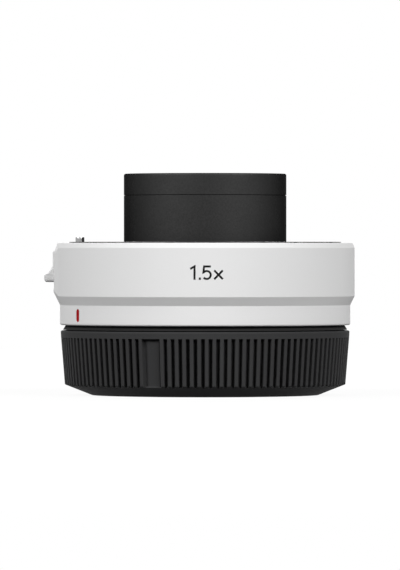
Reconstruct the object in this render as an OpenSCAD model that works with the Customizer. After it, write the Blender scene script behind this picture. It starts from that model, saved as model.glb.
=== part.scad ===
// Camera teleconverter standing on its rear cap, with the front barrel up.
// Millimetres. The origin is on the optical axis at the cap's base; +Z points to the lens, -Y to the viewer.

/* [Housing] */
// Length from the camera flange to the lens flange
body_len = 20.3; // [19:0.1:24]
// Radius of the wide band
body_r = 35.6; // [34:0.1:39]
// How far the narrow band next to the camera lies inside the wide one
band_step = 1.05; // [0.6:0.05:1.5]
// Wall of the narrow band
band_wall = 1.55; // [1.2:0.05:2]
// Height of the narrow band
band_h = 4.75; // [4:0.05:5.5]
// Height of the taper between the two bands
taper_h = 2.1; // [1:0.1:2.6]
// Height of the bevel at the lens end
bevel_h = 1.2; // [0.5:0.05:1.6]
// Width of that bevel
bevel_w = 0.45; // [0.2:0.05:0.9]
// Radius of the round edge at the camera end
edge_r = 0.5; // [0.2:0.05:0.8]
// Thickness of the ledge that carries the lens mount
ledge_t = 3; // [2.4:0.1:3.4]
// Radius of the screw bosses inside the wall
boss_r = 2.3; // [1.8:0.1:2.6]

/* [Index marks] */
// Direction of the camera index mark, from +X
mark_angle = 209.6; // [195:0.1:225]
// Width of the camera index mark
mark_w = 1.4; // [1:0.1:2]
// Height of the camera index mark
mark_h = 3.1; // [2.4:0.1:3.4]
// Depth of the inlaid marks
mark_depth = 0.25; // [0.15:0.05:0.4]
// Radius of the lens index dot
dot_r = 0.8; // [0.5:0.05:1.1]

/* [Mount rings] */
// Width of both steel rings, from the throat to their edge
flange_w = 5.36; // [5:0.02:5.8]
// Thickness of both steel rings
flange_t = 2; // [1.8:0.1:2.4]
// How far the lens flange stands above the housing
front_proud = 0.26; // [0.1:0.02:0.5]
// How far the camera flange stands below the housing
rear_proud = 0.53; // [0.3:0.01:0.7]
// How far the lens mount's lugs reach in from the throat
lug_reach = 1.8; // [1.5:0.05:2]
// Thickness of the lugs
lug_t = 1.6; // [1.3:0.05:1.75]
// Angle that each lug covers
lug_angle = 52; // [40:1:58]
// Play between a bayonet and the mount that takes it
mount_play = 0.3; // [0.2:0.05:0.4]
// Thickness of the camera bayonet's tabs
tab_t = 1.4; // [1.1:0.05:1.7]
// Gap between the camera flange and the tabs
tab_gap = 1.9; // [1.7:0.05:2.3]
// Angle that each tab covers
tab_angle = 50; // [40:1:56]
// Wall of the bayonet's tube
spigot_wall = 1.4; // [1:0.05:1.7]
// Length of the bayonet's tube below the camera flange
spigot_len = 5.2; // [4.6:0.1:6]
// Distance of the camera mount's screws from the ring's edge
screw_inset = 1.96; // [1.8:0.02:2.3]
// Width of the leaf spring's ring
leaf_w = 1.5; // [1.3:0.05:1.8]
// Thickness of the leaf spring
leaf_t = 0.35; // [0.2:0.05:0.45]
// How far the leaves reach in from the throat
leaf_reach = 1.2; // [0.8:0.05:1.5]
// Angle that each leaf covers
leaf_angle = 40; // [30:1:46]

/* [Seal] */
// Width of the seal's root, between the camera ring and the housing's wall
seal_w = 0.64; // [0.5:0.02:0.9]
// How far the seal covers the end of the housing's wall
seal_neck = 0.15; // [0.1:0.05:0.4]
// How far the lip flares out
seal_flare = 0.7; // [0.5:0.05:0.9]
// How far the lip reaches past the camera flange
seal_reach = 0.58; // [0.4:0.01:0.7]
// Thickness of the lip
seal_t = 0.6; // [0.4:0.05:0.8]
// Depth of the seal's root inside the housing
seal_root_h = 0.9; // [0.5:0.05:1.1]

/* [Front barrel] */
// Gap between the lugs and the barrel, which takes the rear tube of a lens
barrel_gap = 5.85; // [5.4:0.05:6.4]
// Height of the barrel and its ring above the lens flange
barrel_h = 16.2; // [15:0.1:20]
// Height of the front ring
front_ring_h = 5.1; // [4.6:0.1:6]
// Seam between the ring and the barrel
seam_gap = 0.12; // [0.06:0.01:0.2]
// Radius of the ring's round edge
rim_r = 0.4; // [0.2:0.05:0.7]
// Wall of the ring at its mouth
mouth_wall = 1.75; // [1.2:0.05:2.2]
// Number of light-trap steps in the mouth
baffle_steps = 5; // [3:1:7]
// Wall of the barrel
barrel_wall = 3.15; // [2.8:0.05:3.4]
// Wall of the barrel round the front lens
counterbore_wall = 1.85; // [1.5:0.05:2.2]
// Depth of the seat for the front lens
counterbore_h = 3; // [2.7:0.05:3.6]
// Thickness of the shoulder under the doublet
shoulder_t = 2; // [1.4:0.1:2.4]

/* [Lenses] */
// Width of the flat rims on which the lenses are seated
lens_rim_w = 1.8; // [1.4:0.05:2.2]
// Rim thickness of the front lens
front_rim_t = 1.8; // [1.4:0.05:2.2]
// Depth of the front lens's outer surface
front_outer_depth = 3; // [2:0.1:3.8]
// Depth of the front lens's inner surface
front_inner_depth = 1.1; // [0.8:0.1:1.6]
// Length of the spacer above the doublet
spacer_len = 3.9; // [3:0.1:4.6]
// Wall of the spacer
spacer_wall = 1.5; // [1:0.1:1.7]
// Rim thickness of the doublet's front lens
doublet_front_rim_t = 1; // [0.8:0.1:1.6]
// Rim thickness of the doublet's rear lens
doublet_rear_rim_t = 6.1; // [5.6:0.1:6.8]
// Depth of the doublet's front surface
doublet_front_depth = 1.7; // [1:0.1:2.2]
// Depth of the doublet's cemented surface
doublet_cement_depth = 2.8; // [2:0.1:3.2]
// Depth of the doublet's rear surface
doublet_rear_depth = 1.9; // [1.2:0.1:2.2]
// Rim thickness of the triplet's front lens
triplet_front_rim_t = 1; // [0.8:0.1:1.6]
// Rim thickness of the triplet's middle lens
triplet_middle_rim_t = 8.4; // [8:0.1:9]
// Rim thickness of the triplet's rear lens
triplet_rear_rim_t = 1; // [0.8:0.1:1.6]
// Depth of the triplet's front surface
triplet_front_depth = 1.1; // [0.8:0.1:1.6]
// Depth of the triplet's upper cemented surface
triplet_upper_depth = 3.2; // [2.4:0.1:3.6]
// Depth of the triplet's lower cemented surface
triplet_lower_depth = 3.9; // [3:0.1:4.2]
// Depth of the triplet's rear surface
triplet_rear_depth = 1.8; // [1.2:0.1:2.2]
// Rim thickness of the rear lens
rear_rim_t = 4.4; // [4:0.1:5]
// Depth of the rear lens's upper surface
rear_upper_depth = 1.2; // [0.8:0.1:1.5]
// Depth of the rear lens's lower surface
rear_lower_depth = 1.8; // [1.2:0.1:2]

/* [Rear lens cell] */
// Wall of the cell round the triplet
cell_wall = 1.7; // [1.3:0.05:2]
// Wall of the cell round the rear lens
cell_tail_wall = 3.1; // [2.6:0.05:3.5]
// Width of the cell's flange
cell_flange_w = 2.55; // [2.2:0.05:2.9]
// Thickness of the cell's flange
cell_flange_t = 2.5; // [2:0.1:3]
// Thickness of the web between the triplet and the rear lens
cell_web_t = 1.6; // [1.2:0.1:2]
// Height of the triplet's retaining ring
triplet_ring_h = 0.9; // [0.6:0.05:1.2]
// Height of the rear lens's retaining ring
rear_ring_h = 1.3; // [1:0.05:1.7]

/* [Main frame] */
// Thickness of the frame's plate
plate_t = 2.2; // [1.8:0.1:2.8]
// Wall of the frame's collar
collar_wall = 0.95; // [0.8:0.05:1.2]
// Height of the seat for the lens cell above the plate's lower face
cell_seat_h = 5.3; // [4.6:0.1:6]
// Radius of the frame's posts
post_r = 1.6; // [1.3:0.1:1.8]
// Gap between the frame's collar and the shroud's posts
post_gap = 2; // [1.4:0.1:2.6]

/* [Lens socket] */
// Depth of the socket's floor below the lens flange
socket_depth = 6; // [5.4:0.1:6.6]
// Thickness of the shroud's floor
floor_t = 0.8; // [0.6:0.05:1]
// Thickness of the liner round the socket
liner_t = 0.9; // [0.6:0.05:1]

/* [Rear baffle] */
// Half width of the light window
window_x = 10.5; // [8:0.1:12]
// Half height of the light window
window_y = 8; // [6:0.1:9]
// Thickness of the baffle
baffle_t = 1.1; // [0.8:0.05:1.4]
// Wall of the baffle's skirt
baffle_skirt_t = 0.8; // [0.6:0.05:1]

/* [Contacts] */
// Number of contacts in each row
contact_count = 12; // [8:1:12]
// Angle between neighbouring contacts
contact_step = 6; // [5:0.1:6]
// Radius of a spring pin
contact_pin_r = 0.4; // [0.3:0.02:0.5]
// Length of a spring pin
contact_pin_len = 3.6; // [3.2:0.1:3.8]
// How far the spring pins stand out of their block
contact_proud = 1; // [0.9:0.05:1.3]
// Travel of the spring pins
contact_travel = 0.7; // [0.4:0.05:0.8]
// Depth of the lens contact block's face below the lens flange
block_depth = 5.5; // [5.1:0.05:5.8]
// Height of the lens contact block
block_h = 3.7; // [3.6:0.05:4.2]
// Radial width of the lens contact block
block_w = 2.8; // [2.2:0.1:3.4]
// Radial width of the camera contact block
rear_block_w = 4.5; // [4:0.1:4.8]
// Distance of the camera contacts' row from the outer edge of their block
rear_row_inset = 1.4; // [1.3:0.05:1.8]
// Length of a camera contact
pad_len = 2.2; // [1.6:0.1:2.6]
// Width of a camera contact
pad_w = 1.3; // [0.9:0.05:1.5]
// Thickness of a camera contact
pad_t = 0.12; // [0.08:0.01:0.16]

/* [Electronics] */
// Thickness of the circuit board
board_t = 1; // [0.8:0.1:1.6]
// Radial width of the circuit board
board_w = 6.2; // [5.4:0.1:6.8]
// Angle that the circuit board covers
board_angle = 150; // [146:1:160]
// Side of a chip
chip_w = 4.4; // [3:0.1:5]
// Height of a chip
chip_h = 1; // [0.6:0.1:1.4]
// Width of the flexible cable
flex_w = 8; // [5:0.5:9]
// Thickness of the flexible cable
flex_t = 0.3; // [0.2:0.05:0.4]

/* [Lens lock] */
// Distance of the lock pin from the lens ring's edge
lock_inset = 2.56; // [2.4:0.02:2.8]
// Radius of the lock pin
lock_r = 1.08; // [0.9:0.02:1.3]
// How far the lock pin stands above the lens flange
lock_proud = 1.22; // [1:0.02:1.5]
// Radius of the lock pin's round tip
lock_tip_r = 0.35; // [0.15:0.05:0.6]
// Travel of the lever and the lock pin
lock_travel = 1.6; // [1.3:0.05:1.7]
// Radius of the lock pin's collar
lock_collar_r = 2; // [1.8:0.05:2.2]
// Thickness of the lock pin's collar
lock_collar_t = 1; // [0.7:0.05:1.2]
// Wire of the return spring
spring_wire = 0.45; // [0.3:0.01:0.5]
// Turns of the return spring
spring_turns = 6; // [4:1:7]
// Half width of the raised pad under the lever
lever_pad_half_w = 4.6; // [4:0.1:5.5]
// How far that pad stands out of the housing
lever_pad_proud = 0.5; // [0.3:0.05:0.7]
// Half width of the lever
lever_half_w = 3.2; // [2.6:0.1:3.6]
// Length of the lever along the axis
lever_len = 7.55; // [7:0.05:7.8]
// Distance of the lever's top below the lens flange
lever_drop = 2.03; // [1.8:0.01:2.3]
// How far the lever's face stands out of the raised pad
lever_proud = 0.3; // [0.2:0.05:0.5]
// Thickness of the lever's plate
lever_t = 1.1; // [0.9:0.05:1.3]
// Radius of the lever's top edge
lever_top_r = 0.8; // [0.3:0.05:0.85]
// How far the thumb fin stands out of the lever's face
fin_reach = 2.05; // [1.6:0.05:2.6]
// Thickness of the thumb fin
fin_t = 1.9; // [1.6:0.05:2.2]
// Radius of the thumb fin's lower edge
fin_edge_r = 0.7; // [0.3:0.05:0.9]
// Half width of the lever's stem
stem_half_w = 1.9; // [1.6:0.1:2.1]
// Thickness of the lever's stem and arm
arm_t = 1.4; // [1.1:0.05:1.6]
// Gap between the arm and the ledge above it
arm_gap = 1.2; // [0.6:0.1:1.4]
// Thickness of the arm's ears
ear_t = 0.7; // [0.5:0.05:0.8]
// Radius of the pin through the arm's ears and the stem
lever_pin_r = 0.3; // [0.2:0.02:0.4]

/* [Rear cap] */
// Height from the base to the land under the camera flange
cap_h = 16; // [15.4:0.1:20]
// Radius of the flat base
cap_base_r = 27; // [25:0.1:30]
// How far the cap's rim stands outside the seal's lip
cap_lip = 0.55; // [0.3:0.05:0.9]
// How far the flank leans in towards its foot
cap_lean = 1; // [0.6:0.05:1.4]
// Height of the slope between the base and the flank
cap_slope_h = 2.65; // [2:0.05:3.2]
// Radius of the rim's round edge
cap_rim_r = 0.35; // [0.15:0.05:0.6]
// Thickness of the floor
cap_floor_t = 1.8; // [1.2:0.1:2.4]
// Thickness of the outer wall
cap_wall = 2.6; // [2.2:0.1:3.2]
// Thickness of the inner collar
cap_collar_t = 1.4; // [1.1:0.05:1.7]
// Number of grip grooves on a full turn
groove_count = 120; // [90:1:130]
// Share of the pitch that a groove takes
groove_share = 0.5; // [0.35:0.01:0.6]
// Depth of the grooves
groove_depth = 0.8; // [0.5:0.05:1.1]
// Plain band between the rim and the grooves
groove_drop = 1.8; // [1.2:0.1:2.5]
// Direction of the index panel, from +X
panel_angle = 248.1; // [240:0.1:260]
// Grooves that the index panel replaces
panel_grooves = 3; // [3:2:5]
// Depth of the index panel
panel_depth = 0.45; // [0.3:0.05:0.6]
// Angle that each lug of the cap covers
cap_lug_angle = 28; // [20:1:30]
// Turn from locked to free
cap_turn = 38.5; // [36:0.1:44]

/* [Clearances] */
// Between fitted pieces that don't move
fit = 0.1; // [0.06:0.01:0.14]
// Between pieces that slide or turn
running = 0.08; // [0.05:0.01:0.1]
// Between the spring pins and their block
pin_play = 0.05; // [0.03:0.01:0.08]
// Between the inlaid marks and their recesses
inlay_play = 0.03; // [0.02:0.01:0.05]
// Between the cap and the pieces that it turns past
cap_clear = 0.2; // [0.12:0.01:0.3]
// Between the camera flange and the cap's land
seat_clear = 0.13; // [0.1:0.01:0.25]

/* [Hidden] */
$fn = 96;

// Colours of the finishes
white_paint = [0.86, 0.86, 0.85];
black_alloy = [0.2, 0.2, 0.2];
black_plastic = [0.17, 0.17, 0.17];
black_rubber = [0.08, 0.08, 0.08];
steel = [0.75, 0.75, 0.76];
gold = [0.83, 0.66, 0.3];
red_paint = [0.7, 0.05, 0.08];
glass = [0.6, 0.75, 0.8, 0.5];
board_green = [0.1, 0.35, 0.2];
amber_film = [0.65, 0.4, 0.12];

// Directions from +X: the contacts are at the back, the lock at the left and the lens index at the front
front = 270;
back = 90;
left = 180;
lug_angles = [90, 210, 330];
screw_angles = [45, 135, 225, 315];
shroud_post_angles = [200, 270, 340];
board_post_angles = [22, 158];
chip_angles = [36, 144];

// How far a cutter runs past the face that it cuts
past = 1;

// Heights of the housing, from the cap's base upwards
z_rear = cap_h + seat_clear;
z_front = z_rear + body_len;
z_body_bot = z_rear + rear_proud;
z_body_top = z_front - front_proud;
z_taper_bot = z_body_bot + band_h;
z_taper_top = z_taper_bot + taper_h;
z_bevel = z_body_top - bevel_h;
z_seat = z_front - flange_t;
z_ledge_bot = z_seat - ledge_t;

// Radii of the housing and the mount rings, from the outside inwards
band_r = body_r - band_step;
bore_r = band_r - band_wall;
flange_r = bore_r - seal_w;
throat_r = flange_r - flange_w;
lug_r = throat_r - lug_reach;
barrel_r = lug_r - barrel_gap;
lock_pcd_r = flange_r - lock_inset;
seal_lip_r = bore_r + seal_neck + seal_flare;
flange_seat_r = flange_r + fit;
ledge_r = throat_r + leaf_w;
leaf_ring_share = 0.7;
spigot_r = lug_r - mount_play;
tab_r = throat_r - mount_play;
boss_pcd_r = flange_r - screw_inset;
mount_screw_pcd_r = (throat_r + flange_r) / 2;
z_spigot_bot = z_rear - spigot_len;
z_tab_top = z_rear - tab_gap;
z_tab_bot = z_tab_top - tab_t;

// Heights and radii of the frame, the socket and the electronics
z_plate_bot = z_rear + flange_t;
z_plate_top = z_plate_bot + plate_t;
z_cell_seat = z_plate_bot + cell_seat_h;
z_floor_top = z_front - socket_depth;
z_floor_bot = z_floor_top - floor_t;
z_block_top = z_front - block_depth;
z_board_top = z_block_top - block_h;
z_board_bot = z_board_top - board_t;
frame_r = bore_r - fit;
barrel_seat_r = barrel_r + fit;
collar_r = barrel_seat_r + collar_wall;
shroud_r = ledge_r - fit;
shroud_post_pcd_r = collar_r + post_gap + post_r;
board_gap = 0.4;
board_r = collar_r + board_gap;
board_mid_r = board_r + board_w / 2;
flex_gap = 1.2;
flex_y = collar_r + flex_gap;
flex_foot_reach = 1.5;

// Heights of the optics, from the front ring downwards
z_top = z_front + barrel_h;
z_ring_bot = z_top - front_ring_h;
z_barrel_top = z_ring_bot - seam_gap;
z_front_lens = z_barrel_top - counterbore_h;
z_front_rim = z_front_lens + front_rim_t;
z_doublet_rim = z_front_lens - spacer_len;
z_doublet_cement = z_doublet_rim - doublet_front_rim_t;
z_doublet = z_doublet_cement - doublet_rear_rim_t;
z_shoulder_bot = z_doublet - shoulder_t;
z_cell_top = z_shoulder_bot - 2 * fit;
z_triplet_rim = z_cell_top - triplet_ring_h;
z_triplet_upper = z_triplet_rim - triplet_front_rim_t;
z_triplet_lower = z_triplet_upper - triplet_middle_rim_t;
z_triplet = z_triplet_lower - triplet_rear_rim_t;
z_rear_lens_rim = z_triplet - cell_web_t;
z_rear_lens = z_rear_lens_rim - rear_rim_t;
z_cell_bot = z_rear_lens - rear_ring_h;
z_barrel_bot = z_cell_seat + cell_flange_t;
z_baffle_top = z_cell_bot - fit;
z_baffle_bot = z_baffle_top - baffle_t;

// Radii of the optics
mouth_r = barrel_r - mouth_wall;
counterbore_r = barrel_r - counterbore_wall;
front_lens_r = counterbore_r - fit;
front_clear_r = front_lens_r - lens_rim_w;
barrel_bore_r = barrel_r - barrel_wall;
doublet_r = barrel_bore_r - fit;
doublet_clear_r = doublet_r - lens_rim_w;
cell_bore_r = doublet_r - cell_wall;
triplet_r = cell_bore_r - fit;
triplet_clear_r = triplet_r - lens_rim_w;
cell_r = barrel_r - cell_flange_w;
cell_tail_bore_r = cell_r - cell_tail_wall;
rear_lens_r = cell_tail_bore_r - fit;
rear_clear_r = rear_lens_r - lens_rim_w;
collar_bore_r = cell_r + 2 * fit;

// Screws: shank radius, head radius, head height and rim of the head
mount_screw = [0.85, 1.6, 0.9, 0.1];
small_screw = [0.5, 1, 0.45, 0.08];
mount_screw_len = 4.2;
boss_screw_depth = 5;
small_screw_len = 2.6;
screw_sink = 0.04;

// Contacts
contact_row_r = collar_r + 2 * fit + block_w / 2;
contact_span = (contact_count - 1) * contact_step;
contact_angles = [for (i = [0:contact_count - 1]) back - contact_span / 2 + i * contact_step];
block_end_angle = 6.5;
block_angle = contact_span + 2 * block_end_angle;
z_pin_tip = z_block_top + contact_proud;
z_pin_bot = z_pin_tip - contact_pin_len;
rear_block_out_r = spigot_r - spigot_wall - fit;
rear_block_r = rear_block_out_r - rear_block_w;
rear_row_r = rear_block_out_r - rear_row_inset;
rear_block_end_angle = 10;
rear_block_angle = contact_span + 2 * rear_block_end_angle;
rear_screw_pcd_r = (rear_block_r + rear_block_out_r) / 2;
rear_screw_gap_angle = 5.5;
rear_screw_angles = [for (s = [-1, 1]) back + s * (contact_span / 2 + rear_screw_gap_angle)];
window_play_angle = 1;
z_rear_block = z_spigot_bot + pad_t + fit / 2;
z_rear_block_top = z_plate_bot - 2 * fit;

// Lens lock: distances from the axis and heights
lever_pad_face = body_r + lever_pad_proud;
lever_face = lever_pad_face + lever_proud;
lever_back = lever_face - lever_t;
pocket_floor = lever_back - running;
fin_tip = lever_face + fin_reach;
z_lever_top = z_front - lever_drop;
z_lever_bot = z_lever_top - lever_len;
z_fin_top = z_lever_bot + fin_t;
arm_wall_gap = 0.3;
arm_outer = bore_r - arm_wall_gap;
arm_inner = shroud_r + 2 * fit;
arm_half_w = stem_half_w + running + ear_t;
stem_overlap = 1.1;
stem_inner = arm_outer - stem_overlap;
lever_pin_pcd_r = (arm_outer + stem_inner) / 2;
z_arm_top = z_ledge_bot - arm_gap;
z_arm_bot = z_arm_top - arm_t;
z_lock_collar_top = z_arm_bot - running;
z_lock_collar_bot = z_lock_collar_top - lock_collar_t;
z_lock_bot = z_plate_bot + fit + lock_travel;
z_lock_top = z_front + lock_proud;
spring_play = 0.15;
spring_r = lock_r + running + spring_play + spring_wire / 2;
spring_seat = 0.02;
spring_end = spring_wire / 2 + spring_seat;
spring_sides = 6;
spring_rings = 8;

// Rear cap
cap_head_r = seal_lip_r + cap_lip;
cap_foot_r = cap_head_r - cap_lean;
z_cap_rim = z_rear - seal_reach - cap_clear;
z_cap_flank = z_cap_rim - cap_rim_r;
cap_pocket_rise = 0.6;
z_cap_pocket = cap_slope_h + cap_pocket_rise;
cap_collar_in_r = tab_r + cap_clear + fit;
cap_collar_out_r = cap_collar_in_r + cap_collar_t;
cap_lug_r = spigot_r + cap_clear;
z_cap_lug_bot = z_tab_top + cap_clear;
z_cap_lug_top = z_rear - cap_clear;
cap_free_angle = 3.5;
cap_lug_offset = (tab_angle + cap_lug_angle) / 2 + cap_free_angle - cap_turn;
stop_angle = 3;
stop_gap_angle = 0.8;
pitch_angle = 360 / groove_count;
pitch = 2 * PI * cap_foot_r / groove_count;
first_groove = (panel_grooves + 1) / 2;
panel_w = (panel_grooves - 1 + groove_share) * pitch;
flank_tilt = atan2(cap_head_r - cap_foot_r, z_cap_flank - cap_slope_h);
groove_len = (z_cap_rim - groove_drop - cap_slope_h) / cos(flank_tilt);

function reversed(points) = [for (i = [len(points) - 1:-1:0]) points[i]];

function arc(centre, r, from, to, steps = 6) =
    [for (i = [0:steps]) let (a = from + (to - from) * i / steps) centre + r * [cos(a), sin(a)]];

// Points of a spherical surface from the axis out to its edge, which lies at height z.
// A positive depth bulges towards the subject, and a negative one towards the camera.
function dome_points(z, depth, edge, steps = 14) =
    let (curve = (edge * edge + depth * depth) / (2 * abs(depth)))
        [for (i = [0:steps]) let (r = edge * i / steps)
            [r, z + sign(depth) * (sqrt(curve * curve - r * r) - curve + abs(depth))]];

module tube(r_in, r_out, z0, z1) {
    rotate_extrude() translate([r_in, z0]) square([r_out - r_in, z1 - z0]);
}

module sector(r_in, r_out, z0, z1, middle, angle) {
    rotate([0, 0, middle - angle / 2])
        rotate_extrude(angle = angle) translate([r_in, z0]) square([r_out - r_in, z1 - z0]);
}

module polar(r, angle, z = 0) {
    rotate([0, 0, angle]) translate([r, 0, z]) children();
}

// A screw that points down, with its head's face at height 0 and a cross recess
module flat_screw(size, length) {
    recess_l = 1.2 * size[1];
    recess_w = 0.28 * size[1];
    recess_h = 0.55 * size[2];
    difference() {
        rotate_extrude() polygon([
            [0, 0], [size[1], 0], [size[1], -size[3]], [size[0], -size[2]], [size[0], -length], [0, -length]
        ]);
        for (a = [0, 90]) rotate([0, 0, a]) translate([-recess_l / 2, -recess_w / 2, -recess_h])
            cube([recess_l, recess_w, recess_h + past]);
    }
}

// The hole for such a screw, open at the top
module screw_hole(size, length) {
    shank = size[0] + fit;
    head = size[1] + fit;
    rotate_extrude() polygon([
        [0, past], [head, past], [head, -size[3] - fit], [shank, -size[2] - fit],
        [shank, -length], [0, -length]
    ]);
}

// A lens with flat rims, from the edge and depth of its lower surface to those of its upper one
module lens(z0, depth0, z1, depth1, clear_r, outer_r) {
    color(glass) rotate_extrude() polygon(concat(
        dome_points(z0, depth0, clear_r),
        [[outer_r, z0], [outer_r, z1]],
        reversed(dome_points(z1, depth1, clear_r))
    ));
}

// Housing

module housing_ring() {
    rotate_extrude() polygon(concat(
        [[bore_r, z_body_bot]],
        arc([band_r - edge_r, z_body_bot + edge_r], edge_r, -90, 0),
        [
            [band_r, z_taper_bot], [body_r, z_taper_top], [body_r, z_bevel], [body_r - bevel_w, z_body_top],
            [flange_seat_r, z_body_top], [flange_seat_r, z_seat], [ledge_r, z_seat], [ledge_r, z_ledge_bot],
            [bore_r, z_ledge_bot]
        ]
    ));
}

// The raised pad carries on the lines of the taper and the bevel
module lever_pad() {
    taper_slope = taper_h / (body_r - band_r);
    bevel_slope = bevel_h / bevel_w;
    intersection() {
        rotate_extrude() polygon([
            [bore_r, z_taper_top], [body_r, z_taper_top],
            [lever_pad_face, z_taper_top + lever_pad_proud * taper_slope],
            [lever_pad_face, z_bevel - lever_pad_proud * bevel_slope],
            [body_r, z_bevel], [bore_r, z_bevel]
        ]);
        translate([-2 * body_r, -lever_pad_half_w, 0]) cube([2 * body_r, 2 * lever_pad_half_w, z_front]);
    }
}

// The pocket in which the lever slides, and the slot for its stem
module lever_pocket() {
    half_w = lever_half_w + running;
    slot_half_w = stem_half_w + running;
    translate([-2 * body_r, -half_w, z_lever_bot - lock_travel - running])
        cube([2 * body_r - pocket_floor, 2 * half_w, lever_len + lock_travel + 2 * running]);
    translate([-body_r, -slot_half_w, z_arm_bot - lock_travel - running])
        cube([body_r - stem_inner, 2 * slot_half_w, arm_t + lock_travel + 2 * running]);
}

// An upright bar with round ends, sunk into the narrow band
module index_bar(r_out, play) {
    w = mark_w + 2 * play;
    straight = mark_h - mark_w;
    reach = band_r - bore_r + 2 * past;
    intersection() {
        tube(band_r - mark_depth, r_out, z_body_bot, z_taper_bot);
        polar(bore_r, mark_angle, (z_body_bot + z_taper_bot) / 2) rotate([90, 0, 90]) linear_extrude(reach) {
            square([w, straight], center = true);
            for (s = [-1, 1]) translate([0, s * straight / 2]) circle(d = w);
        }
    }
}

module screw_boss() {
    height = z_ledge_bot - z_plate_top + ledge_t / 2;
    cylinder(h = height, r = boss_r);
    translate([0, -boss_r / 2, 0]) cube([bore_r - boss_pcd_r + (band_r - bore_r) / 2, boss_r, height]);
}

module housing() {
    color(white_paint) difference() {
        union() {
            housing_ring();
            lever_pad();
            for (a = screw_angles) polar(boss_pcd_r, a, z_plate_top) screw_boss();
        }
        lever_pocket();
        translate([0, 0, z_floor_bot - fit]) cylinder(h = z_seat - z_floor_bot, r = shroud_r + fit / 2);
        index_bar(band_r + past, inlay_play);
        polar(lock_pcd_r, left, z_ledge_bot - past) cylinder(h = ledge_t + 2 * past, r = lock_r + running);
        for (a = screw_angles) {
            polar(mount_screw_pcd_r, a, z_front) screw_hole(mount_screw, mount_screw_len + fit);
            polar(boss_pcd_r, a, z_plate_top - past)
                cylinder(h = past + boss_screw_depth + fit, r = mount_screw[0] + fit);
        }
    }
}

module camera_index_mark() {
    color(red_paint) index_bar(band_r, 0);
}

// Lens mount

module front_mount_ring() {
    color(steel) difference() {
        union() {
            tube(throat_r, flange_r, z_seat, z_front);
            for (a = lug_angles) sector(lug_r, throat_r + leaf_w, z_front - lug_t, z_front, a, lug_angle);
        }
        for (a = screw_angles) polar(mount_screw_pcd_r, a, z_front)
            screw_hole(mount_screw, flange_t + past);
        polar(lock_pcd_r, left, z_seat - past) cylinder(h = flange_t + 2 * past, r = lock_r + running);
        polar(mount_screw_pcd_r, front, z_front - mark_depth)
            cylinder(h = mark_depth + past, r = dot_r + inlay_play);
    }
}

module lens_index_dot() {
    color(red_paint) polar(mount_screw_pcd_r, front, z_front - mark_depth)
        cylinder(h = mark_depth - inlay_play, r = dot_r);
}

module front_mount_screws() {
    color(steel) for (a = screw_angles) polar(mount_screw_pcd_r, a, z_front - screw_sink)
        flat_screw(mount_screw, mount_screw_len);
}

module bayonet_spring() {
    ring_r = ledge_r - fit - leaf_ring_share * leaf_w;
    color(steel) {
        tube(ring_r, ledge_r - fit, z_seat - leaf_t, z_seat);
        for (a = lug_angles)
            sector(throat_r - leaf_reach, ring_r + fit, z_seat - leaf_t, z_seat, a, leaf_angle);
    }
}

// The floor of the lens socket, with a window for the contact block
module inner_shroud() {
    color(black_plastic) difference() {
        tube(barrel_r + 1.5 * fit, shroud_r, z_floor_bot, z_floor_top);
        sector(
            contact_row_r - block_w / 2 - fit, contact_row_r + block_w / 2 + fit,
            z_floor_bot - past, z_floor_top + past, back, block_angle + window_play_angle
        );
        for (a = shroud_post_angles) polar(shroud_post_pcd_r, a, z_floor_top)
            screw_hole(small_screw, floor_t + past);
    }
}

// The wall of the lens socket, which stands on its floor
module socket_liner() {
    color(black_plastic) tube(shroud_r - liner_t, shroud_r, z_floor_top, z_seat - leaf_t - fit);
}

module shroud_screws() {
    color(black_alloy) for (a = shroud_post_angles) polar(shroud_post_pcd_r, a, z_floor_top - screw_sink)
        flat_screw(small_screw, small_screw_len);
}

module front_contact_block() {
    z_hole = z_pin_bot - contact_travel - fit;
    color(black_plastic) difference() {
        sector(
            contact_row_r - block_w / 2, contact_row_r + block_w / 2, z_board_top, z_block_top,
            back, block_angle
        );
        for (a = contact_angles) polar(contact_row_r, a, z_hole)
            cylinder(h = z_block_top - z_hole + past, r = contact_pin_r + pin_play);
    }
}

module front_contact_pins() {
    color(gold) for (a = contact_angles) polar(contact_row_r, a) rotate_extrude() polygon(concat(
        [[0, z_pin_bot], [contact_pin_r, z_pin_bot]],
        arc([0, z_pin_tip - contact_pin_r], contact_pin_r, 0, 90)
    ));
}

// Front barrel and its lenses

module front_barrel() {
    shoulder_r = doublet_clear_r + fit;
    color(black_alloy) rotate_extrude() polygon([
        [barrel_bore_r, z_barrel_bot], [barrel_r, z_barrel_bot], [barrel_r, z_barrel_top],
        [counterbore_r, z_barrel_top], [counterbore_r, z_front_lens], [barrel_bore_r, z_front_lens],
        [barrel_bore_r, z_doublet], [shoulder_r, z_doublet], [shoulder_r, z_shoulder_bot],
        [barrel_bore_r, z_shoulder_bot]
    ]);
}

// The mouth narrows in steps towards the front lens, and the skirt below holds that lens down
module front_ring() {
    step_h = (z_top - rim_r - z_ring_bot) / baffle_steps;
    step_w = (mouth_r - front_clear_r) / baffle_steps;
    steps = [for (i = [0:baffle_steps - 1]) each [
        [mouth_r - i * step_w, z_top - rim_r - i * step_h],
        [mouth_r - (i + 1) * step_w, z_top - rim_r - i * step_h]
    ]];
    color(black_alloy) rotate_extrude() polygon(concat(
        [[front_lens_r, z_front_rim], [front_lens_r, z_ring_bot], [barrel_r, z_ring_bot]],
        arc([barrel_r - rim_r, z_top - rim_r], rim_r, 0, 90),
        [[mouth_r, z_top]], steps, [[front_clear_r, z_front_rim]]
    ));
}

module front_lens() {
    lens(z_front_lens, front_inner_depth, z_front_rim, front_outer_depth, front_clear_r, front_lens_r);
}

module lens_spacer() {
    color(black_alloy) tube(doublet_r - spacer_wall, doublet_r, z_doublet_rim, z_front_lens);
}

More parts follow.
